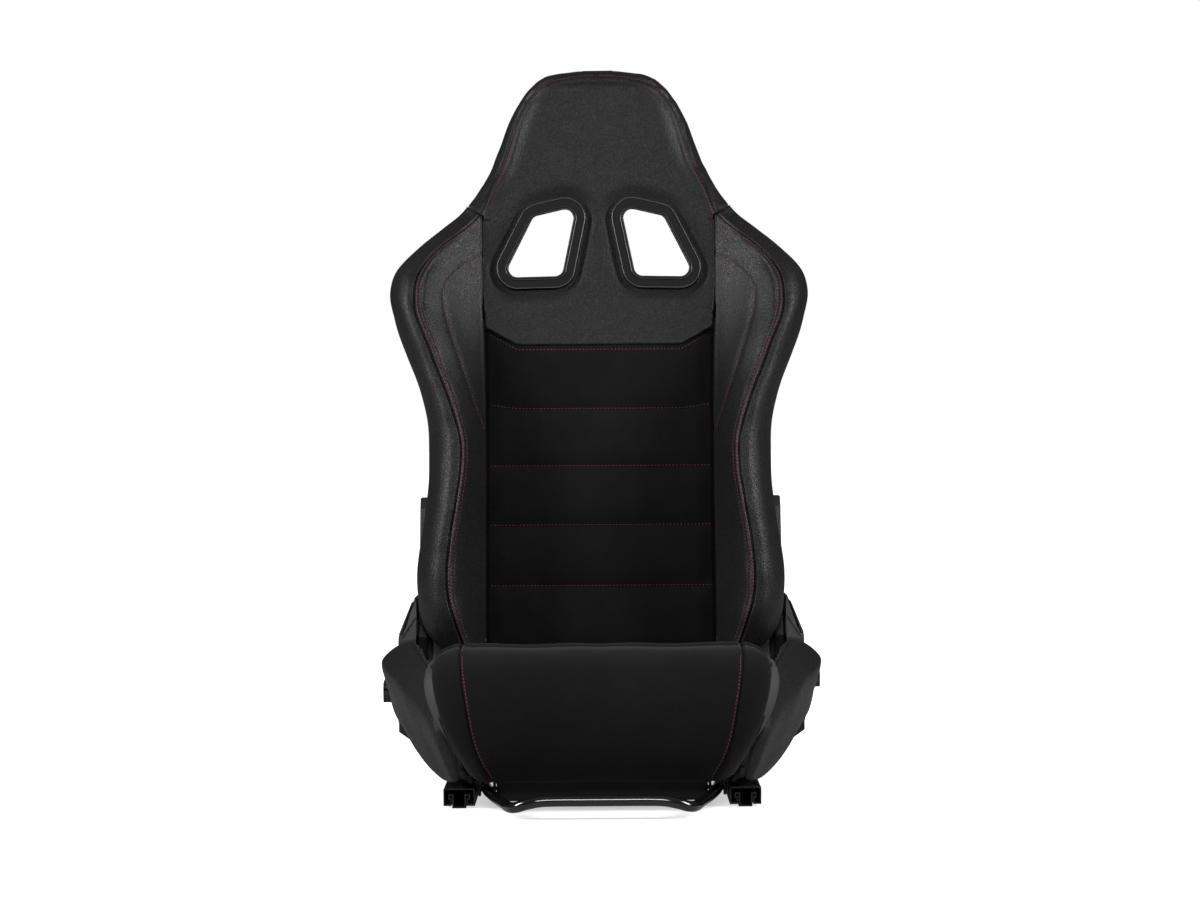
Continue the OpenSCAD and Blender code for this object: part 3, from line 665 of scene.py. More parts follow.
def head():
    """Shoulder panel and head in one skin, with the roll round the head and dips for the trims."""
    low = levels(SHOULDER_SEAM[1], WING_TOP, 2.2, end=6, fine=8)[:-5]
    low = np.concatenate([low, [WING_TOP - 0.6]])
    high = np.concatenate([np.arange(WING_TOP + PAD_GAP, HEAD_TURN, 2.2), HEAD_TURN
                           + (SEAT_H - HEAD_TURN) * np.sin(np.linspace(0, math.pi / 2, 20))])
    z = np.concatenate([low, high])
    is_head = z > WING_TOP
    f, r = pad_y(z), board_y(z)
    seam_curve = smooth_line(HEAD_SEAM[:-1])
    xs = np.where(is_head, np.minimum(seam_curve(z), half_w(z) * 0.93), panel_w(z))
    w = np.where(is_head, half_w(z), panel_w(z))
    e = np.minimum(HEAD_GROW * smoothstep(WING_TOP, 775, z) + 34 * smoothstep(WING_TOP, 830, z),
                   (r - f) * 0.55)

    u = np.linspace(-1, 1, HEAD_COLUMNS)
    x = np.sign(u) * np.abs(u) ** 0.9 * xs[:, None]
    y = f[:, None] + np.where(is_head[:, None], e[:, None] * HEAD_ROLL(np.abs(x) / w[:, None]), 0)
    rise = (1 - smoothstep(SHOULDER_SEAM[1], 650, z))[:, None]
    zz = z[:, None] + (chevron_z(x, SHOULDER_SEAM) - SHOULDER_SEAM[1]) * rise
    middle = np.stack([x, y, zz], axis=-1)

    lip = np.maximum(w - LIP_W, w * 0.4) * (1 - smoothstep(900, 930, z))
    roll = [(mix(xs, w, t), f + e * HEAD_ROLL(mix(xs, w, t) / w)) for t in (0.35, 0.75)]
    roll += [(w, f + e), (w, mix(f + e, r, 0.45)), (w - 3, mix(f + e, r, 0.75)),
             (mix(lip, w, 0.6), r - 3.5), (lip + 1.5 * (lip > 3), r - 1)]
    roll += [(np.maximum(lip - 0.5, 0), r - depth) for depth in (6, 14)]
    hidden = [(xs + 0.1 - 0.5 * k, f + 2.2 * k) for k in range(1, len(roll) + 1)]
    tuck = mix(0.88, 1.0, smoothstep(738, 757, z))
    roll = [(mix(xs, x, tuck), y) for x, y in roll]
    control = np.where(is_head[:, None, None], stacked(z, roll), stacked(z, hidden))
    edge = np.concatenate([middle[:, -1:], control], axis=1)
    edge[~is_head, :, 2] += rise[~is_head] * (SHOULDER_SEAM[0] - SHOULDER_SEAM[1])
    edge = sampled(edge, [5, 5, 5, 5, 5, 5, 4, 3, 3])[:, 1:]
    mirrored = edge[:, ::-1] * MIRROR
    grid = np.concatenate([mirrored, middle, edge], axis=1)

    top, centre = grid[-1], np.array([0, (f[-1] + r[-1]) / 2, SEAT_H])
    cap = [centre + (top - centre) * t + np.array([0, 0, HEAD_SWELL * (1 - t * t)])
           for t in (0.93, 0.8, 0.6, 0.35, 0.0)]
    grid = np.concatenate([grid, cap])
    z, is_head, xs = (np.concatenate([a, [a[-1]] * len(cap)]) for a in (z, is_head, xs))
    first = mirrored.shape[1]
    normals = facing(grid_normals(grid), grid.shape[1] // 2, (0, -1, 0))
    gx, gz = grid[..., 0], grid[..., 2]
    to_seam = distance_to(np.stack([np.abs(gx), gz], axis=-1), HEAD_SEAM_PATH)
    front = normals[..., 1] < -0.12
    inside = np.zeros(grid.shape[1], bool)
    inside[first:first + HEAD_COLUMNS] = True
    to_slot = np.maximum(slot_distance(gx, gz, FLANGE_GROW), 0)
    places = np.stack([gx, gz], axis=-1)
    over = is_head[:, None] & front
    height = np.where(over, groove(to_seam, 2.4, 1.9), 0)
    height += np.where(over & inside, 0.9 * smoothstep(2.0, 3.2, to_seam)
                       * (1 - smoothstep(8.0, 10.5, to_seam)), 0)
    height += np.where(front & inside, groove(to_slot, 5.5, 13), 0)
    side_gap = xs[:, None] - np.abs(gx)
    calm = np.where(is_head[:, None], 1, smoothstep(0, 16, side_gap))
    height += np.where(front, 0.5 * calm * ripple(places, 70, 21) * smoothstep(570, 600, gz), 0)
    height += np.where(over & ~inside, 0.45 * ripple(places, 24, 9), 0)
    height -= np.where(~is_head[:, None] & inside, 0.6 * np.exp(-(side_gap / 1.2) ** 2), 0)
    above = gz - WING_TOP - shoulder_lift(np.abs(gx))
    height -= np.where(is_head[:, None] & ~inside, 1.8 * (1 - smoothstep(-1, 3.5, above)), 0)
    fold = gz - chevron_z(gx, SHOULDER_SEAM)
    height += np.where(~is_head[:, None] & inside,
                       2.2 * (1 - smoothstep(3, 26, fold)) - 4.5 * np.exp(-(fold / 1.5) ** 2), 0)
    height[-len(cap) - 2:] *= np.linspace(1, 0, len(cap) + 2)[:, None]
    grid = grid + normals * height[..., None]

    faces = open_faces(grid, 7, columns=range(first, first + HEAD_COLUMNS - 1))
    obj = piece("head_and_shoulders", grid, faces, LEATHER, "backrest", replaces=["head_pad"],
                slot="leatherette", fill=0.8)
    face_forward(obj)
    thicken(obj, 2.2)
    for vertex in obj.data.vertices:
        vertex.co.z = min(vertex.co.z, (SEAT_H + HEAD_SWELL) * MM)
    return obj


def channels(bounds, count):
    """Lines from seam to seam, close together at the seams, and how far each one puffs up."""
    lines, puffs = [], []
    for a, b in zip(bounds[:-1], bounds[1:]):
        for t in (1 - np.cos(np.linspace(0, math.pi, count)))[:-1] / 2:
            lines.append(mix(a, b, t))
            puffs.append(1 - abs(2 * t - 1) ** 2.6)
    return np.array(lines + [bounds[-1]], float), np.array(puffs + [0.0])[:, None]


def puffed(puff, gap):
    """Height of a channel's puff, which is flatter near the side seams."""
    return PUFF * puff * (0.25 + 0.75 * smoothstep(0, 26, gap))


def channel_pad():
    """The suede panel of the backrest, sewn into puffed horizontal channels."""
    x = spread(131) * PANEL_HALF_W
    x = mix(x, np.linspace(-1, 1, 131) * PANEL_HALF_W, 0.6)
    bounds = [np.full_like(x, FOAM_BOTTOM)] + [chevron_z(x, s) for s in CHANNEL_SEAMS[::-1]]
    bounds[-1] = bounds[-1] + 3
    zz, puff = channels(bounds, 33)
    xx = x / PANEL_HALF_W * panel_w(zz)
    side_gap = panel_w(zz) - np.abs(xx)
    places = np.stack([xx, zz], axis=-1)
    y = pad_y(zz) + 1.2 - puffed(puff, side_gap)
    y += 4.0 * np.exp(-(side_gap / 2.6) ** 2)
    y += 0.35 * ripple(places * np.array([1, 0.45]), 26, 31) * (1.1 - puff)
    y += 0.4 * ripple(places, 60, 33)
    front = np.stack([xx, y, zz], axis=-1)
    back = front.copy()
    back[..., 1] = board_y(zz) - CAVITY_DEPTH
    return pad("channel_pad", front, back, "backrest", "back_pad")


def pad(name, front, back, body, node):
    """A closed suede pad between a front grid and a back grid of the same size."""
    index = np.arange(front[..., 0].size).reshape(front.shape[:2])
    faces = grid_faces(*index.shape)
    faces += [[i + index.size for i in reversed(face)] for face in faces]
    rim = [*index[0], *index[1:, -1], *index[-1, -2::-1], *index[-2:0:-1, 0]]
    faces += [[a, a + index.size, b + index.size, b] for a, b in zip(rim, rim[1:] + rim[:1])]
    return piece(name, [front, back], faces, SUEDE, body, replaces=[node], slot="suede", fill=0.7)


def rear_cover():
    """The covered board behind the backrest, with its sewn border and panel seams."""
    z = levels(167, 929, 5.5, end=8)
    w = half_w(z) - LIP_W + 0.2
    xx = spread(121) * w[:, None]
    zz = np.broadcast_to(z[:, None], xx.shape)
    edge = np.minimum(w[:, None] - np.abs(xx), np.minimum(zz - 160, 936 - zz))
    out = 2.6 * smoothstep(0, 26, edge) - 2.0 + 0.5 * ripple(np.stack([xx, zz], axis=-1), 90, 41)
    for line in REAR_SEAMS:
        out += groove(distance_to(np.stack([np.abs(xx), zz], axis=-1), line), 1.4, 3.2)
    to_slot = np.maximum(slot_distance(xx, zz + REAR_SLOT_DROP, TUNNEL_GROW + 14), 0)
    out += groove(to_slot, 2.2, 9)
    grid = np.stack([xx, board_y(zz) + out, zz], axis=-1)
    faces = open_faces(grid, TUNNEL_GROW + 3, REAR_SLOT_DROP)
    obj = piece("rear_cover", grid, faces, REAR_CLOTH, "backrest", replaces=["rear_board"],
                slot="rear_leatherette")
    face_forward(obj, (0, 1, 0))
    thicken(obj, 3.0)
    return obj


REAR_DEPTH = (float(board_y(SLOT_Z)) - float(pad_y(SLOT_Z))) * math.cos(SLOT_LEAN) + 1.5
REAR_SLOT_DROP = REAR_DEPTH * math.sin(SLOT_LEAN) - REAR_SLOT_RISE * math.cos(SLOT_LEAN)


def slot_loft(name, profile, side_name, material, slot, **ties):
    """A trim lofted round the slot through (grow, depth) pairs, closed on itself."""
    rings = [slot_place(slot_corners(grow), depth, SIDES[side_name]) for grow, depth in profile]
    rings.append(rings[0])
    faces = grid_faces(len(rings), SLOT_POINTS, True)
    obj = piece(f"{name}_{side_name}", rings, faces, material, "backrest", slot=slot, **ties)
    obj.data.set_sharp_from_angle(angle=math.radians(50))
    return obj


# Bands of the front trim's profile that get a lighter, glossier colour: painted highlight lines
# along its rims
PAINTED_HIGHLIGHT_BANDS = (3, 4, 10, 11, 14)


def trims(side_name):
    """Front flange with its sleeve, and the rear flange with the tunnel through the foam."""
    front = [(15.6, -6), (16.4, -3), (16.4, 1.0), (16.1, 1.6), (15.5, 1.8), (14.9, 1.5),
             (14.6, 0.9), (10, 0.8), (5.2, 0.9), (4.8, 1.5), (4.2, 1.8), (3.6, 1.5), (3.3, 0.8),
             (1.8, 0.8), (1.4, 1.4), (0.8, 1.5), (0.2, 1.1), (0.0, 0.2), (0.0, -1.5), (0.6, -4),
             (1.2, -6), (4.3, 2 - SLEEVE_LEN), (4.6, 1 - SLEEVE_LEN), (5.4, 1 - SLEEVE_LEN),
             (5.4, -6)]
    obj = slot_loft("slot_trim", front, side_name, BEZEL, "bezel_plastic",
                    replaces=[f"front_bezel_{side_name}"])
    # The rim bands take the lighter colour, which paints highlight lines on them
    obj.data.materials.append(BEZEL_HIGHLIGHT_PAINT)
    for k, polygon in enumerate(obj.data.polygons):
        polygon.material_index = int(k // SLOT_POINTS in PAINTED_HIGHLIGHT_BANDS)
    d = -REAR_DEPTH
    rear = [(26, d + 1), (26.4, d - 1.4), (25.6, d - 3.2), (23.5, d - 4), (16, d - 3.4),
            (11, d - 4), (10, d - 3.4), (9, d - 2), (9, d + 18), (9.8, d + 20), (11.6, d + 20),
            (11.6, d + 1)]
    slot_loft("rear_trim", rear, side_name, BEZEL, "bezel_plastic",
              replaces=[f"rear_bezel_{side_name}"])
    tunnel = [(6.2, -12), (6.2, 3 - SLEEVE_LEN), (8, 1 - SLEEVE_LEN), (11, -1 - SLEEVE_LEN),
              (12.2, -4 - SLEEVE_LEN), (12.2, mix(-SLEEVE_LEN, d, 0.5)), (12.2, d + 2),
              (14.6, d + 2), (14.6, -12)]
    slot_loft("slot_lining", tunnel, side_name, LEATHER, "leatherette")


# ---------- Cushion ----------

NOSE_LINE = [(-152, 70), (-152, 184), (-168, 190), (-190, 192.5), (-215, 189.5), (-240, 174),
             (-255, 148), (-261, 115), (-258, 80), (-249, 52), (-238, 38), (-224, 34), (-206, 43),
             (-185, 53)]
NOSE_CENTRE = (-176, 108)
NOSE_SEAM = smooth_line([(28, 129), (40, 133), (63, 145), (87, 153.5), (111, 158.5), (135, 162.5),
                         (160, 166.5), (193, 170)])
NOSE_EDGE = smooth_line([(29, 160.5), (37, 164), (61, 174), (84, 183.5), (107, 191.5), (132, 197.5),
                         (155, 202), (176, 204.5), (193, 204)])


def ring_sampled(points, counts):
    """Closed smooth rings through control points, shaped (rows, points, 3)."""
    wrapped = np.concatenate([points[:, -1:], points, points[:, :2]], axis=1)
    grid = sampled(wrapped, [1] + list(counts) + [1])
    return grid[:, 1:-2]


def nose():
    """The front roll: a centre panel, two side panels and a lighter gusset down each side."""
    line = np.array([[(0.0, y, z) for y, z in NOSE_LINE]])
    profile = ring_sampled(line, [10, 8, 9, 10, 10, 11, 11, 11, 11, 9, 8, 8, 8, 10])[0, :, 1:]
    centre = np.array(NOSE_CENTRE, float)
    arm, height = profile - centre, profile[:, 1]
    seam, edge = NOSE_SEAM(height), NOSE_EDGE(height)
    strip = 2 + 6.5 * smoothstep(30, 150, height)
    inner = np.linspace(0, 1, 56) ** 0.8
    outer = [(0.04, 0.997), (0.1, 0.996), (0.2, 0.994), (0.32, 0.986), (0.45, 0.972), (0.58, 0.950),
             (0.7, 0.922), (0.8, 0.893), (0.88, 0.862), (0.95, 0.828), (1.0, 0.800)]
    outer = sampled(np.array([[(t, k, 0) for t, k in [(0, 1.0)] + outer]]), [5] * 11)[0, 1:, :2]
    gusset = [(0.12, 0.785), (0.3, 0.772), (0.6, 0.742), (0.9, 0.70), (1.0, 0.65), (0.92, 0.58),
              (0.6, 0.48), (-0.1, 0.34), (-0.8, 0.2), (-1.1, 0.08)]
    # Each ring is (x, share of the centre profile, distance from the seam)
    rings = [(t * seam, 1.0, (t - 1) * seam) for t in inner]
    rings += [(mix(seam, edge, t), k, t * (edge - seam)) for t, k in outer]
    rings += [(edge + t * strip, k, edge - seam + 30 * (1 - k)) for t, k in gusset]
    half = np.stack([np.stack([x, centre[0] + k * arm[:, 0], centre[1] + k * arm[:, 1]], axis=-1)
                     for x, k, _ in rings])
    distance = np.array([gap for _, _, gap in rings])
    normals = facing(grid_normals(half, True), np.argmin(profile[:, 0]), (0, -1, 0))
    places = np.stack([half[..., 0], 1.3 * np.arange(len(profile)) + 0 * half[..., 0]], axis=-1)
    edge_gap = distance - (edge - seam)
    lift = (groove(distance, 2.7, 2.0) + groove(edge_gap, 1.3, 1.6)
            + 0.9 * np.exp(-((distance - 6) / 5) ** 2) + 0.9 * np.exp(-((distance + 6) / 5) ** 2)
            + 0.4 * ripple(places, 24, 51) * np.exp(-np.abs(distance) / 16)
            + 0.7 * ripple(places, 85, 53))
    lift[len(inner) + len(outer) + 3:] = 0
    half = half + normals * lift[..., None]
    grid = np.concatenate([half[:0:-1] * MIRROR, half])
    obj = piece("nose_roll", grid, ring_faces(*grid.shape[:2]), SUEDE, "seat",
                replaces=["cushion_nose"], slot="suede", fill=0.8)
    obj.data.materials.append(STRIP)
    for polygon in obj.data.polygons:
        x, y, z = polygon.center / MM
        if abs(x) > NOSE_EDGE(z) + 0.2 or abs(x) > 203.9 and y > -200:
            polygon.material_index = 1
    return obj


# Slices of a cushion bolster: y, then (x, z) of its widest, top and low points, the foot's height
# and (x, z) of the shoulder
BOLSTER_STATIONS = [
    (-226, (190, 82), (183, 116), (174, 40), 48, (176, 100)),
    (-205, (206, 98), (196, 148), (182, 32), 42, (184, 126)),
    (-165, (225, 118), (209, 168), (197, 34), 44, (193, 144)),
    (-125, (243, 128), (218, 175), (214, 43), 50, (198, 146)),
    (-85, (256, 136), (224, 178), (232, 60), 62, (202, 144)),
    (-35, (270, 143), (230, 179), (248, 78), 68, (204, 140)),
    (15, (279, 148), (235, 180), (260, 94), 70, (206, 136)),
    (60, (282, 150), (240, 179), (264, 104), 72, (208, 133)),
    (105, (273, 150), (245, 176), (258, 104), 74, (212, 132)),
    (150, (264, 146), (248, 170), (250, 102), 76, (214, 130)),
    (186, (256, 140), (247, 161), (243, 102), 80, (214, 126))]
BOLSTER_X0, BOLSTER_SEAM = 168.4, 5
BOLSTER_FRONT, BOLSTER_REAR = BOLSTER_STATIONS[0][0], BOLSTER_STATIONS[-1][0]


def bolster_controls():
    rows = []
    for y, wide, top, low, foot, shoulder in BOLSTER_STATIONS:
        tucked = BOLSTER_X0 - 12 * (1 - smoothstep(-210, -155, y))
        ring = [(tucked, foot - 0.8 * (BOLSTER_X0 - tucked)),
                (mix(tucked, BOLSTER_X0, 0.7), mix(foot, min(shoulder[1], 128), 0.55)),
                (BOLSTER_X0 + 0.4, min(shoulder[1], 128)), shoulder,
                (mix(shoulder[0], top[0], 0.6), mix(shoulder[1], top[1], 0.55)), top,
                (mix(top[0], wide[0], 0.5), top[1] - 3), (wide[0] - 2.5, mix(top[1], wide[1], 0.6)),
                wide, (mix(wide[0], low[0], 0.35), mix(wide[1], low[1], 0.42)), low,
                (mix(low[0], tucked, 0.5), mix(low[1], foot, 0.5) - 1)]
        rows.append([(x, y, z) for x, z in ring])
    return np.array(rows)


def cushion_bolster(side_name):
    """A side bolster of the cushion, smooth along its length, with a piped inner edge."""
    side = SIDES[side_name]
    columns = bolster_controls()
    fine = np.stack([spline(columns[:, k], 12) for k in range(columns.shape[1])], axis=1)
    seam_line = fine[:, BOLSTER_SEAM].copy()
    counts = [5, 5, 5, 9, 9, 10, 9, 8, 8, 8, 7, 6]
    grid = ring_sampled(fine, counts)
    seam = sum(counts[:BOLSTER_SEAM])
    normals = facing(grid_normals(grid, True), sum(counts[:6]), (0, 0, 1))
    d = arc_from(grid, seam)
    y = grid[..., 1]
    places = np.stack([y, d], axis=-1)
    lift = (groove(d, 1.8, 2.2) + 0.5 * ripple(places, 26, 61 + side) * np.exp(-np.abs(d) / 15)
            + 0.9 * ripple(places, 80, 63))
    grid = grid + normals * lift[..., None]
    ends = rounded_end(fine[:, 0, 1], BOLSTER_FRONT, BOLSTER_REAR, 14)[:, None, None]
    grid = grid - normals * ends
    flip = np.array([side, 1, 1])
    obj = piece(f"seat_bolster_{side_name}", grid * flip, ring_faces(*grid.shape[:2]), LEATHER,
                "seat", replaces=[f"cushion_bolster_{side_name}"], slot="leatherette", fill=0.8)
    obj.data.materials.append(SUEDE)
    for polygon in obj.data.polygons:
        x, y, z = polygon.center / MM
        k = np.argmin(np.abs(fine[:, 0, 1] - y))
        crest = fine[k, BOLSTER_SEAM]
        if abs(x) < crest[0] - 0.5 and polygon.normal[0] * side < 0.15 and z > fine[k, 0, 2] + 12:
            polygon.material_index = 1
    bead = grid[6:-8, seam] + normals[6:-8, seam] * 0.5
    down = spline([bead[0], (181, -231, 98), (174, -229, 70), (166, -222, 50)], 6)
    bead = np.concatenate([down[:0:-1], bead])
    strand(f"seat_bolster_piping_{side_name}", bead * flip, 2.8, PIPING, "seat", slot="leatherette")
    return obj, seam_line


CUSHION_TOP = [(-153, 176), (-140, 174), (-110, 164), (-50, 146), (20, 133), (90, 127.5),
               (140, 127), (160, 128), (168, 124), (172, 112)]
CUSHION_SEAMS = [-95, -32, 34, 100]
CUSHION_HALF_W = 168.5


def cushion_top():
    """The dished suede seat between the bolsters, sewn into channels."""
    line = smooth_line(CUSHION_TOP)
    ys, puff = channels([CUSHION_TOP[0][0]] + CUSHION_SEAMS + [CUSHION_TOP[-1][0]], 27)
    x = spread(121) * 0.6 + 0.4 * np.linspace(-1, 1, 121)
    x *= CUSHION_HALF_W
    yy, xx = np.meshgrid(ys, x, indexing="ij")
    gap = CUSHION_HALF_W - np.abs(xx)
    places = np.stack([xx, yy], axis=-1)
    z = line(yy) + puffed(puff, gap) - 1
    z -= 7 * np.exp(-(gap / 4) ** 2)
    z += 0.35 * ripple(places * np.array([0.45, 1]), 26, 71) * (1.1 - puff)
    z += 0.7 * ripple(places, 75, 73)
    front = np.stack([xx, yy, z], axis=-1)
    back = front.copy()
    back[..., 2] = 68
    return pad("seat_pad", front, back, "seat", "cushion_pad")


SHEET_STEP = 2.4


def sheet(name, path, half_width, thickness, material, sag=1.5, **ties):
    """A slack cloth panel hung along a (y, z) path across the seat."""
    line = resampled(spline(path, 10), SHEET_STEP)
    x = np.linspace(-1, 1, 81) * half_width
    grid = np.stack([np.stack([x, 0 * x + y, 0 * x + z], axis=-1) for y, z in line])
    normals = grid_normals(grid)
    down = SHEET_STEP * np.arange(len(line))[:, None]
    places = np.stack([grid[..., 0], down + 0 * grid[..., 0]], axis=-1)
    grid = grid + normals * (sag * ripple(places * np.array([1, 0.6]), 46, 81))[..., None]
    obj = piece(name, grid, grid_faces(*grid.shape[:2]), material, **ties)
    thicken(obj, thickness)
    return obj


def waist_flap():
    """The cloth that closes the gap between the cushion and the backrest."""
    path = [(150, 119), (166, 118), (180, 116), (193, 120), (201, 132), (205, 150), (208, 172)]
    obj = sheet("waist_flap", path, 167, 2.2, SUEDE, body=None, slot="suede")
    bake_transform(obj)


def painted_shade_sheet():
    """A dark cloth sheet under the front roll, hung to just above the bar as painted shade where
    the shade under the seat falls.
    """
    path = [(-212, 46), (-208, 34), (-205, 20), (-200, 8.8), (-184, 8.4), (-166, 12)]
    sheet("painted_shade_sheet", path, 127, 1.6, PAINTED_SHADE_CLOTH, sag=0.3, body="seat", slot="suede")


# ---------- Covers, levers and bar ----------

def solid(name, side_name, points, faces, material, body, node, bevel, segments=3, recess=()):
    """A plastic or metal solid with rounded edges on one side; recess sinks the faces it picks."""
    name = f"{name}_{side_name}"
    mesh = bpy.data.meshes.new(name)
    bm = bmesh.new()
    verts = [bm.verts.new(np.array((SIDES[side_name] * x, y, z)) * MM) for x, y, z in points]
    if faces is None:
        hull = bmesh.ops.convex_hull(bm, input=verts)
        inner = [v for v in hull["geom_interior"] if isinstance(v, bmesh.types.BMVert)]
        bmesh.ops.delete(bm, geom=inner, context="VERTS")
        bmesh.ops.dissolve_limit(bm, angle_limit=math.radians(2), verts=bm.verts, edges=bm.edges)
    else:
        for face in faces:
            bm.faces.new([verts[i] for i in face])
    bmesh.ops.recalc_face_normals(bm, faces=bm.faces)
    for pick, border, depth in recess:
        for face in [f for f in bm.faces if pick(f.normal, f.calc_center_median() / MM)]:
            bmesh.ops.inset_individual(bm, faces=[face], thickness=border * MM, depth=0)
            bmesh.ops.inset_individual(bm, faces=[face], thickness=0.8 * MM, depth=-depth * MM)
    sharp = [e for e in bm.edges
             if len(e.link_faces) == 2 and e.calc_face_angle(0) > math.radians(12)]
    bmesh.ops.bevel(bm, geom=sharp, offset=bevel * MM, segments=segments, profile=0.6,
                    affect="EDGES", clamp_overlap=True)
    for face in bm.faces:
        face.smooth = True
    bm.to_mesh(mesh)
    bm.free()
    mesh.set_sharp_from_angle(angle=math.radians(35))
    return dress(in_scene(name, mesh), material, body, [f"{node}_{side_name}"] if node else [],
                 "gloss_black" if material is GLOSS else "cover_plastic")


def prism(outline, ends):
    """Points and faces of a (y, z) outline pushed between two places along X."""
    n = len(outline)
    points = [(x, y, z) for x in ends for y, z in outline]
    faces = [list(range(n)), [n + i for i in reversed(range(n))]]
    faces += [[i, i + n, (i + 1) % n + n, (i + 1) % n] for i in range(n)]
    return points, faces


def axis_arc(r, *degrees):
    """(y, z) points round the recline axis at a radius; degrees are start, stop and step."""
    return [(AXIS_Y + r * math.cos(a), AXIS_Z + r * math.sin(a))
            for a in np.radians(np.arange(*degrees))]


def recliner_cover(side_name):
    foot = [(203, 37), (286, 37), (299, 49), (299, 60), (192, 60), (192, 49)]
    face = [(192, 49), (299, 49), (299, 170), (286, 180), (196, 180), (192, 174)]
    peak = [(192, 174), (299, 170), (280, 228), (226, 228), (206, 206)]
    points = [(247.2, y, z) for y, z in foot + face + peak]
    points += [(256, y, z) for y, z in [(205, 37.6), (284, 37.6)]]
    points += [(271, y, z) for y, z in [(194, 50), (297, 50), (297, 168), (290, 177), (200, 177),
                                         (194, 172)]]
    points += [(250.5, y, z) for y, z in [(226, 227.6), (280, 227.6)]]
    pick = [(lambda n, c: abs(n.x) > 0.6 and 100 < c.z < 172, 9, 0.9),
            (lambda n, c: c.z > 182 and abs(n.x) > 0.5, 7, 1.4),
            (lambda n, c: n.y < -0.5 and c.z > 180, 4, 1.2)]
    solid("hinge_cover", side_name, points, None, COVER, "seat", "recliner_cover", 1.6, recess=pick)


def inner_shield(side_name):
    """Plastic shield on the inner side of the recliner, turning with the backrest."""
    points, faces = prism(axis_arc(52, 150, 391, 15) + [(292, 205), (222, 205)], SHIELD_X)
    solid("hinge_shield", side_name, points, faces, COVER, "backrest", None, 2.0)


def arm_cover(side_name):
    low = [(206, 176), (228, 228), (240, 244), (306, 244), (290, 176)] + axis_arc(43, 40, 145, 10)
    high = [(230, 228), (262, 346), (272, 360), (310, 360), (322, 346), (306, 228)]
    points, faces = prism(low, LOW_ARM_X)
    solid("arm_shield_low", side_name, points, faces, COVER, "backrest", "arm_cover", 1.2)
    points, faces = prism(high, ARM_X)
    pick = [(lambda n, c: abs(n.x) > 0.9 and abs(c.x) > 240, 8, 1.0)]
    solid("arm_shield", side_name, points, faces, COVER, "backrest", "arm_cover", 2.2, recess=pick)


LEVER = [(17, -6), (15, 9), (6, 16), (-20, 15), (-110, 13), (-126, 11), (-130, 0), (-126, -13),
         (-105, -12), (-20, -12), (6, -16)]


def lever(side_name, drop):
    angle = math.radians(drop)
    rounded = spline(LEVER + LEVER[:1], 4)[:-1]
    outline = [(AXIS_Y + y * math.cos(angle) - z * math.sin(angle),
                AXIS_Z + y * math.sin(angle) + z * math.cos(angle)) for y, z in rounded]
    points, faces = prism(outline, LEVER_X)
    pick = [(lambda n, c: abs(n.x) > 0.9 and abs(c.x) > 284, 4, 0.8)]
    solid("recline_lever", side_name, points, faces, GLOSS, "release", "lever", 2.4, 4, pick)


def lever_caps():
    profile = [(285.5, 3.0), (285.5, 7.6), (286.4, 8.0), (287.4, 7.9), (288.1, 7.2), (288.4, 6.0),
               (288.0, 4.8), (287.6, 3.0)]
    points, faces = [], []
    for side in SIDES.values():
        faces += [[len(points) + i for i in face] for face in ring_faces(len(profile), 32)]
        for x, r in profile:
            points += [(side * x, y, z) for y, z in axis_arc(r, 0, 360, 360 / 32)]
    piece("lever_end_caps", points, faces, GLOSS, "release", replaces=["lever_caps"],
          slot="gloss_black")


BAR_PATH = [(141, -144, 17.5), (139, -175, 18), (130, -215, 16), (118, -255, 13.5), (110, -282, 12),
            (102, -297, 13.5), (88, -304, 18), (72, -305, 21), (50, -304, 21.5), (20, -304, 21.5)]


def pull_bar():
    half = np.array(BAR_PATH, float)
    path = np.vstack([half, half[::-1] * MIRROR])
    strand("pull_bar", spline(path, 14), 13, GLOSS, "towel_bar", 28, replaces=["towel_bar"],
           slot="gloss_black")
    for side_name, side in SIDES.items():
        path = [(side * x, -150, 17.5) for x in (117.4, 118, 119, 135, 150.5, 151.5, 152)]
        strand(f"pull_bar_pin_{side_name}", path, 5, RAIL_PAINT, "towel_bar", 16,
               replaces=["towel_bar"], slot="rail_steel")


# ---------- Build ----------

FORWARD, DOWN, BACKWARD = (0, 1, 0), (0, 0, -1), (0, -1, 0)
# How far the rows of stitches run from their seams
EDGE_ROW, SECOND_ROW, HEAD_ROW, PANEL_ROW, BOLSTER_ROW = 2.9, 7.3, 3.4, 2.6, 4.5
CHANNEL_ROW, SHOULDER_ROW = 1.6, -4.5

wings = {name: wing(name) for name in SIDES}
head_piece = head()
pad_piece = channel_pad()
rear_piece = rear_cover()
nose_piece = nose()
top_piece = cushion_top()
bolsters = {}
for side_name in SIDES:
    trims(side_name)
    bolsters[side_name] = cushion_bolster(side_name)
    recliner_cover(side_name)
    arm_cover(side_name)
    inner_shield(side_name)
waist_flap()
painted_shade_sheet()
lever("left", 4.5)
lever("right", -3.5)
lever_caps()
pull_bar()


def flat_path(points, side=1):
    """(x, z) points as a path in space, to be looked at along Y."""
    return [(side * x, 0, z) for x, z in points]


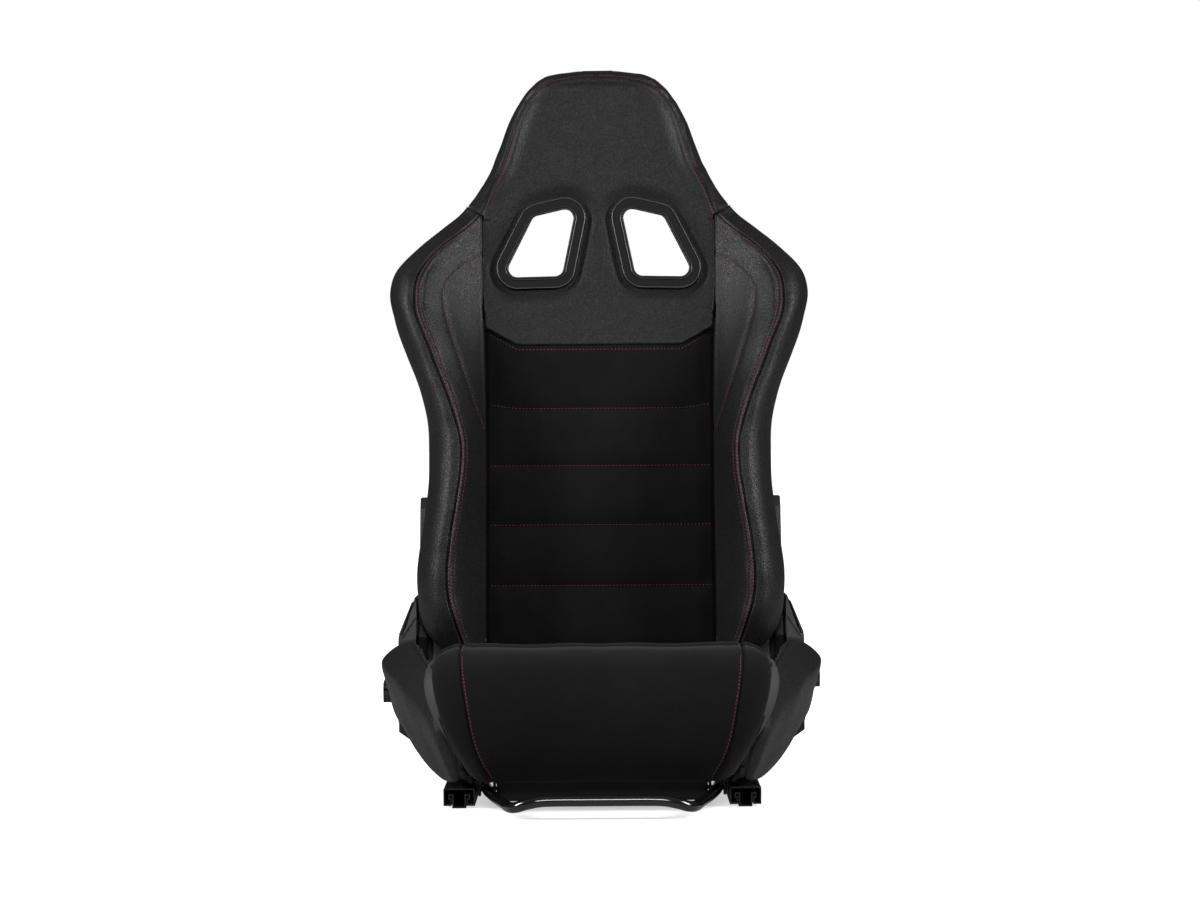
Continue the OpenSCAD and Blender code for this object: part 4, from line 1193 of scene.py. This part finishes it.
def stitch_backrest():
    tree = {name: tree_of(obj) for name, obj in wings.items()}
    head_tree, pad_tree = tree_of(head_piece), tree_of(pad_piece)
    rows = []
    heights = np.arange(172, 744, 4.0)
    seam = np.stack([seam_x(heights), heights], axis=1)
    low = seam[seam[:, 1] < 668]
    paths = [offset_path(seam, EDGE_ROW), offset_path(low, SECOND_ROW),
             spline([(160, 689)] + WING_STITCH[1:], 8)]
    for name, side in SIDES.items():
        rows += [(tree[name], flat_path(path, side), FORWARD) for path in paths]
    sew("backrest_wing_stitches", "backrest", rows)
    inner = offset_path(spline(HEAD_SEAM_PATH, 10), HEAD_ROW)
    rows = [(head_tree, flat_path(inner, side), FORWARD) for side in SIDES.values()]
    sew("headrest_stitches", "backrest", rows)
    rows = []
    for seam in CHANNEL_SEAMS:
        drop = SHOULDER_ROW if seam == SHOULDER_SEAM else CHANNEL_ROW
        path = [(x, chevron_z(x, seam) + drop) for x in np.linspace(-152, 152, 153)]
        rows.append((pad_tree, flat_path(path), FORWARD))
    sew("channel_stitches", "backrest", rows, size=0.9)


def stitch_cushion():
    nose_tree, top_tree = tree_of(nose_piece), tree_of(top_piece)
    heights = np.linspace(40, 186, 60)
    rows = []
    path = [(NOSE_SEAM(z) - PANEL_ROW, z) for z in heights]
    for side in SIDES.values():
        rows.append((nose_tree, flat_path(path, side), FORWARD))
        over = [(side * (NOSE_SEAM(190) - PANEL_ROW), y, 0) for y in (-212, -156)]
        rows.append((nose_tree, over, DOWN))
    for y in CUSHION_SEAMS:
        rows.append((top_tree, [(x, y - CHANNEL_ROW, 0) for x in (-164, 164)], DOWN))
    for name, side in SIDES.items():
        obj, seam_line = bolsters[name]
        path = [(side * (x - BOLSTER_ROW), y, 0) for x, y, z in seam_line[10:-10]]
        rows.append((tree_of(obj), path, DOWN))
    sew("cushion_stitches", "seat", rows)


def stitch_rear():
    tree = tree_of(rear_piece)
    rows = []
    for line in REAR_SEAMS:
        for gap in (-PANEL_ROW, PANEL_ROW):
            path = offset_path(resampled(line, 4), gap)
            rows += [(tree, flat_path(path, side), BACKWARD) for side in SIDES.values()]
    sew("rear_stitches", "backrest", rows)


stitch_backrest()
stitch_cushion()
stitch_rear()

# ---------- Light, floor and camera ----------

# Metres, millimetres of lens and sensor, and radians
FLOOR_REACH, FLOOR_Z = 30, -0.0004
CAMERA_PLACE, SENSOR_MM, LENS_MM = (0, -3.8, 0.48), 36, 89.85
CAMERA_PITCH, CAMERA_ROLL = math.radians(-0.79), math.radians(0.39)


def area_light(name, place, target, size, power):
    light = bpy.data.lights.new(name, "AREA")
    light.shape = "RECTANGLE"
    light.size, light.size_y = size
    light.energy = power
    obj = in_scene(name, light)
    obj.location = place
    obj.rotation_euler = (Vector(target) - Vector(place)).to_track_quat("-Z", "Y").to_euler()


def studio():
    """A dim dome, three softboxes and a floor that glows white for the camera, more dimly near the
    seat as painted shade; the camera sees the background white.
    """
    scene = bpy.context.scene
    scene.view_settings.view_transform = "Standard"
    sky = Look(bpy.data.worlds.new("studio"))
    height = sky.add("SeparateXYZ", "Z", {"Vector": sky.coordinates["Generated"]})
    seen = sky.add("LightPath", "Is Camera Ray", {})
    sky.wire(sky.tree.nodes["Background"],
             {"Color": (1, 1, 1, 1),
              "Strength": sky.mixed(seen, sky.remap(height, 0.015, 0.16, 0.1, 0.9), 1.0)})
    scene.world = sky.owner
    target = (0, 0.2, 0.75)
    area_light("left_softbox", (-2.5, -0.9, 1.6), target, (0.6, 1.3), 72)
    area_light("right_softbox", (2.5, -0.9, 1.6), target, (0.6, 1.3), 72)
    area_light("front_softbox", (0, -3.9, 2.3), target, (1.1, 0.8), 50)

    mesh = bpy.data.meshes.new("studio_floor")
    corners = [(x * FLOOR_REACH, y * FLOOR_REACH, FLOOR_Z)
               for x, y in ((-1, -1), (1, -1), (1, 1), (-1, 1))]
    mesh.from_pydata(corners, [], [(0, 1, 2, 3)])
    floor = in_scene("studio_floor", mesh)
    look = new_look("pale_floor")
    # Only the camera sees the floor's glow. The glow is weaker in a stretched ellipse round the
    # seat, which paints a pale shadow under the bar. To other rays the floor is darker and barely
    # glows.
    distance = look.add("VectorMath", "Value", {0: look.stretched((1.7, 0.6, 1))},
                        operation="LENGTH")
    seen = look.add("LightPath", "Is Camera Ray", {})
    glow = look.remap(distance, 0.42, 1.2, 0.2, 0.5)
    mesh.materials.append(look.finished({
        "Base Color": look.mixed(seen, 0.35, 0.8), "Roughness": 0.9, "Specular IOR Level": 0.05,
        "Emission Color": (1, 1, 1, 1), "Emission Strength": look.mixed(seen, 0.04, glow)}))

    camera = bpy.data.cameras.new("camera")
    camera.sensor_width, camera.lens = SENSOR_MM, LENS_MM
    eye = in_scene("camera", camera)
    eye.matrix_world = (Matrix.Translation(CAMERA_PLACE)
                        @ Matrix.Rotation(math.pi / 2 + CAMERA_PITCH, 4, "X")
                        @ Matrix.Rotation(-CAMERA_ROLL, 4, "Z"))
    scene.camera = eye


studio()
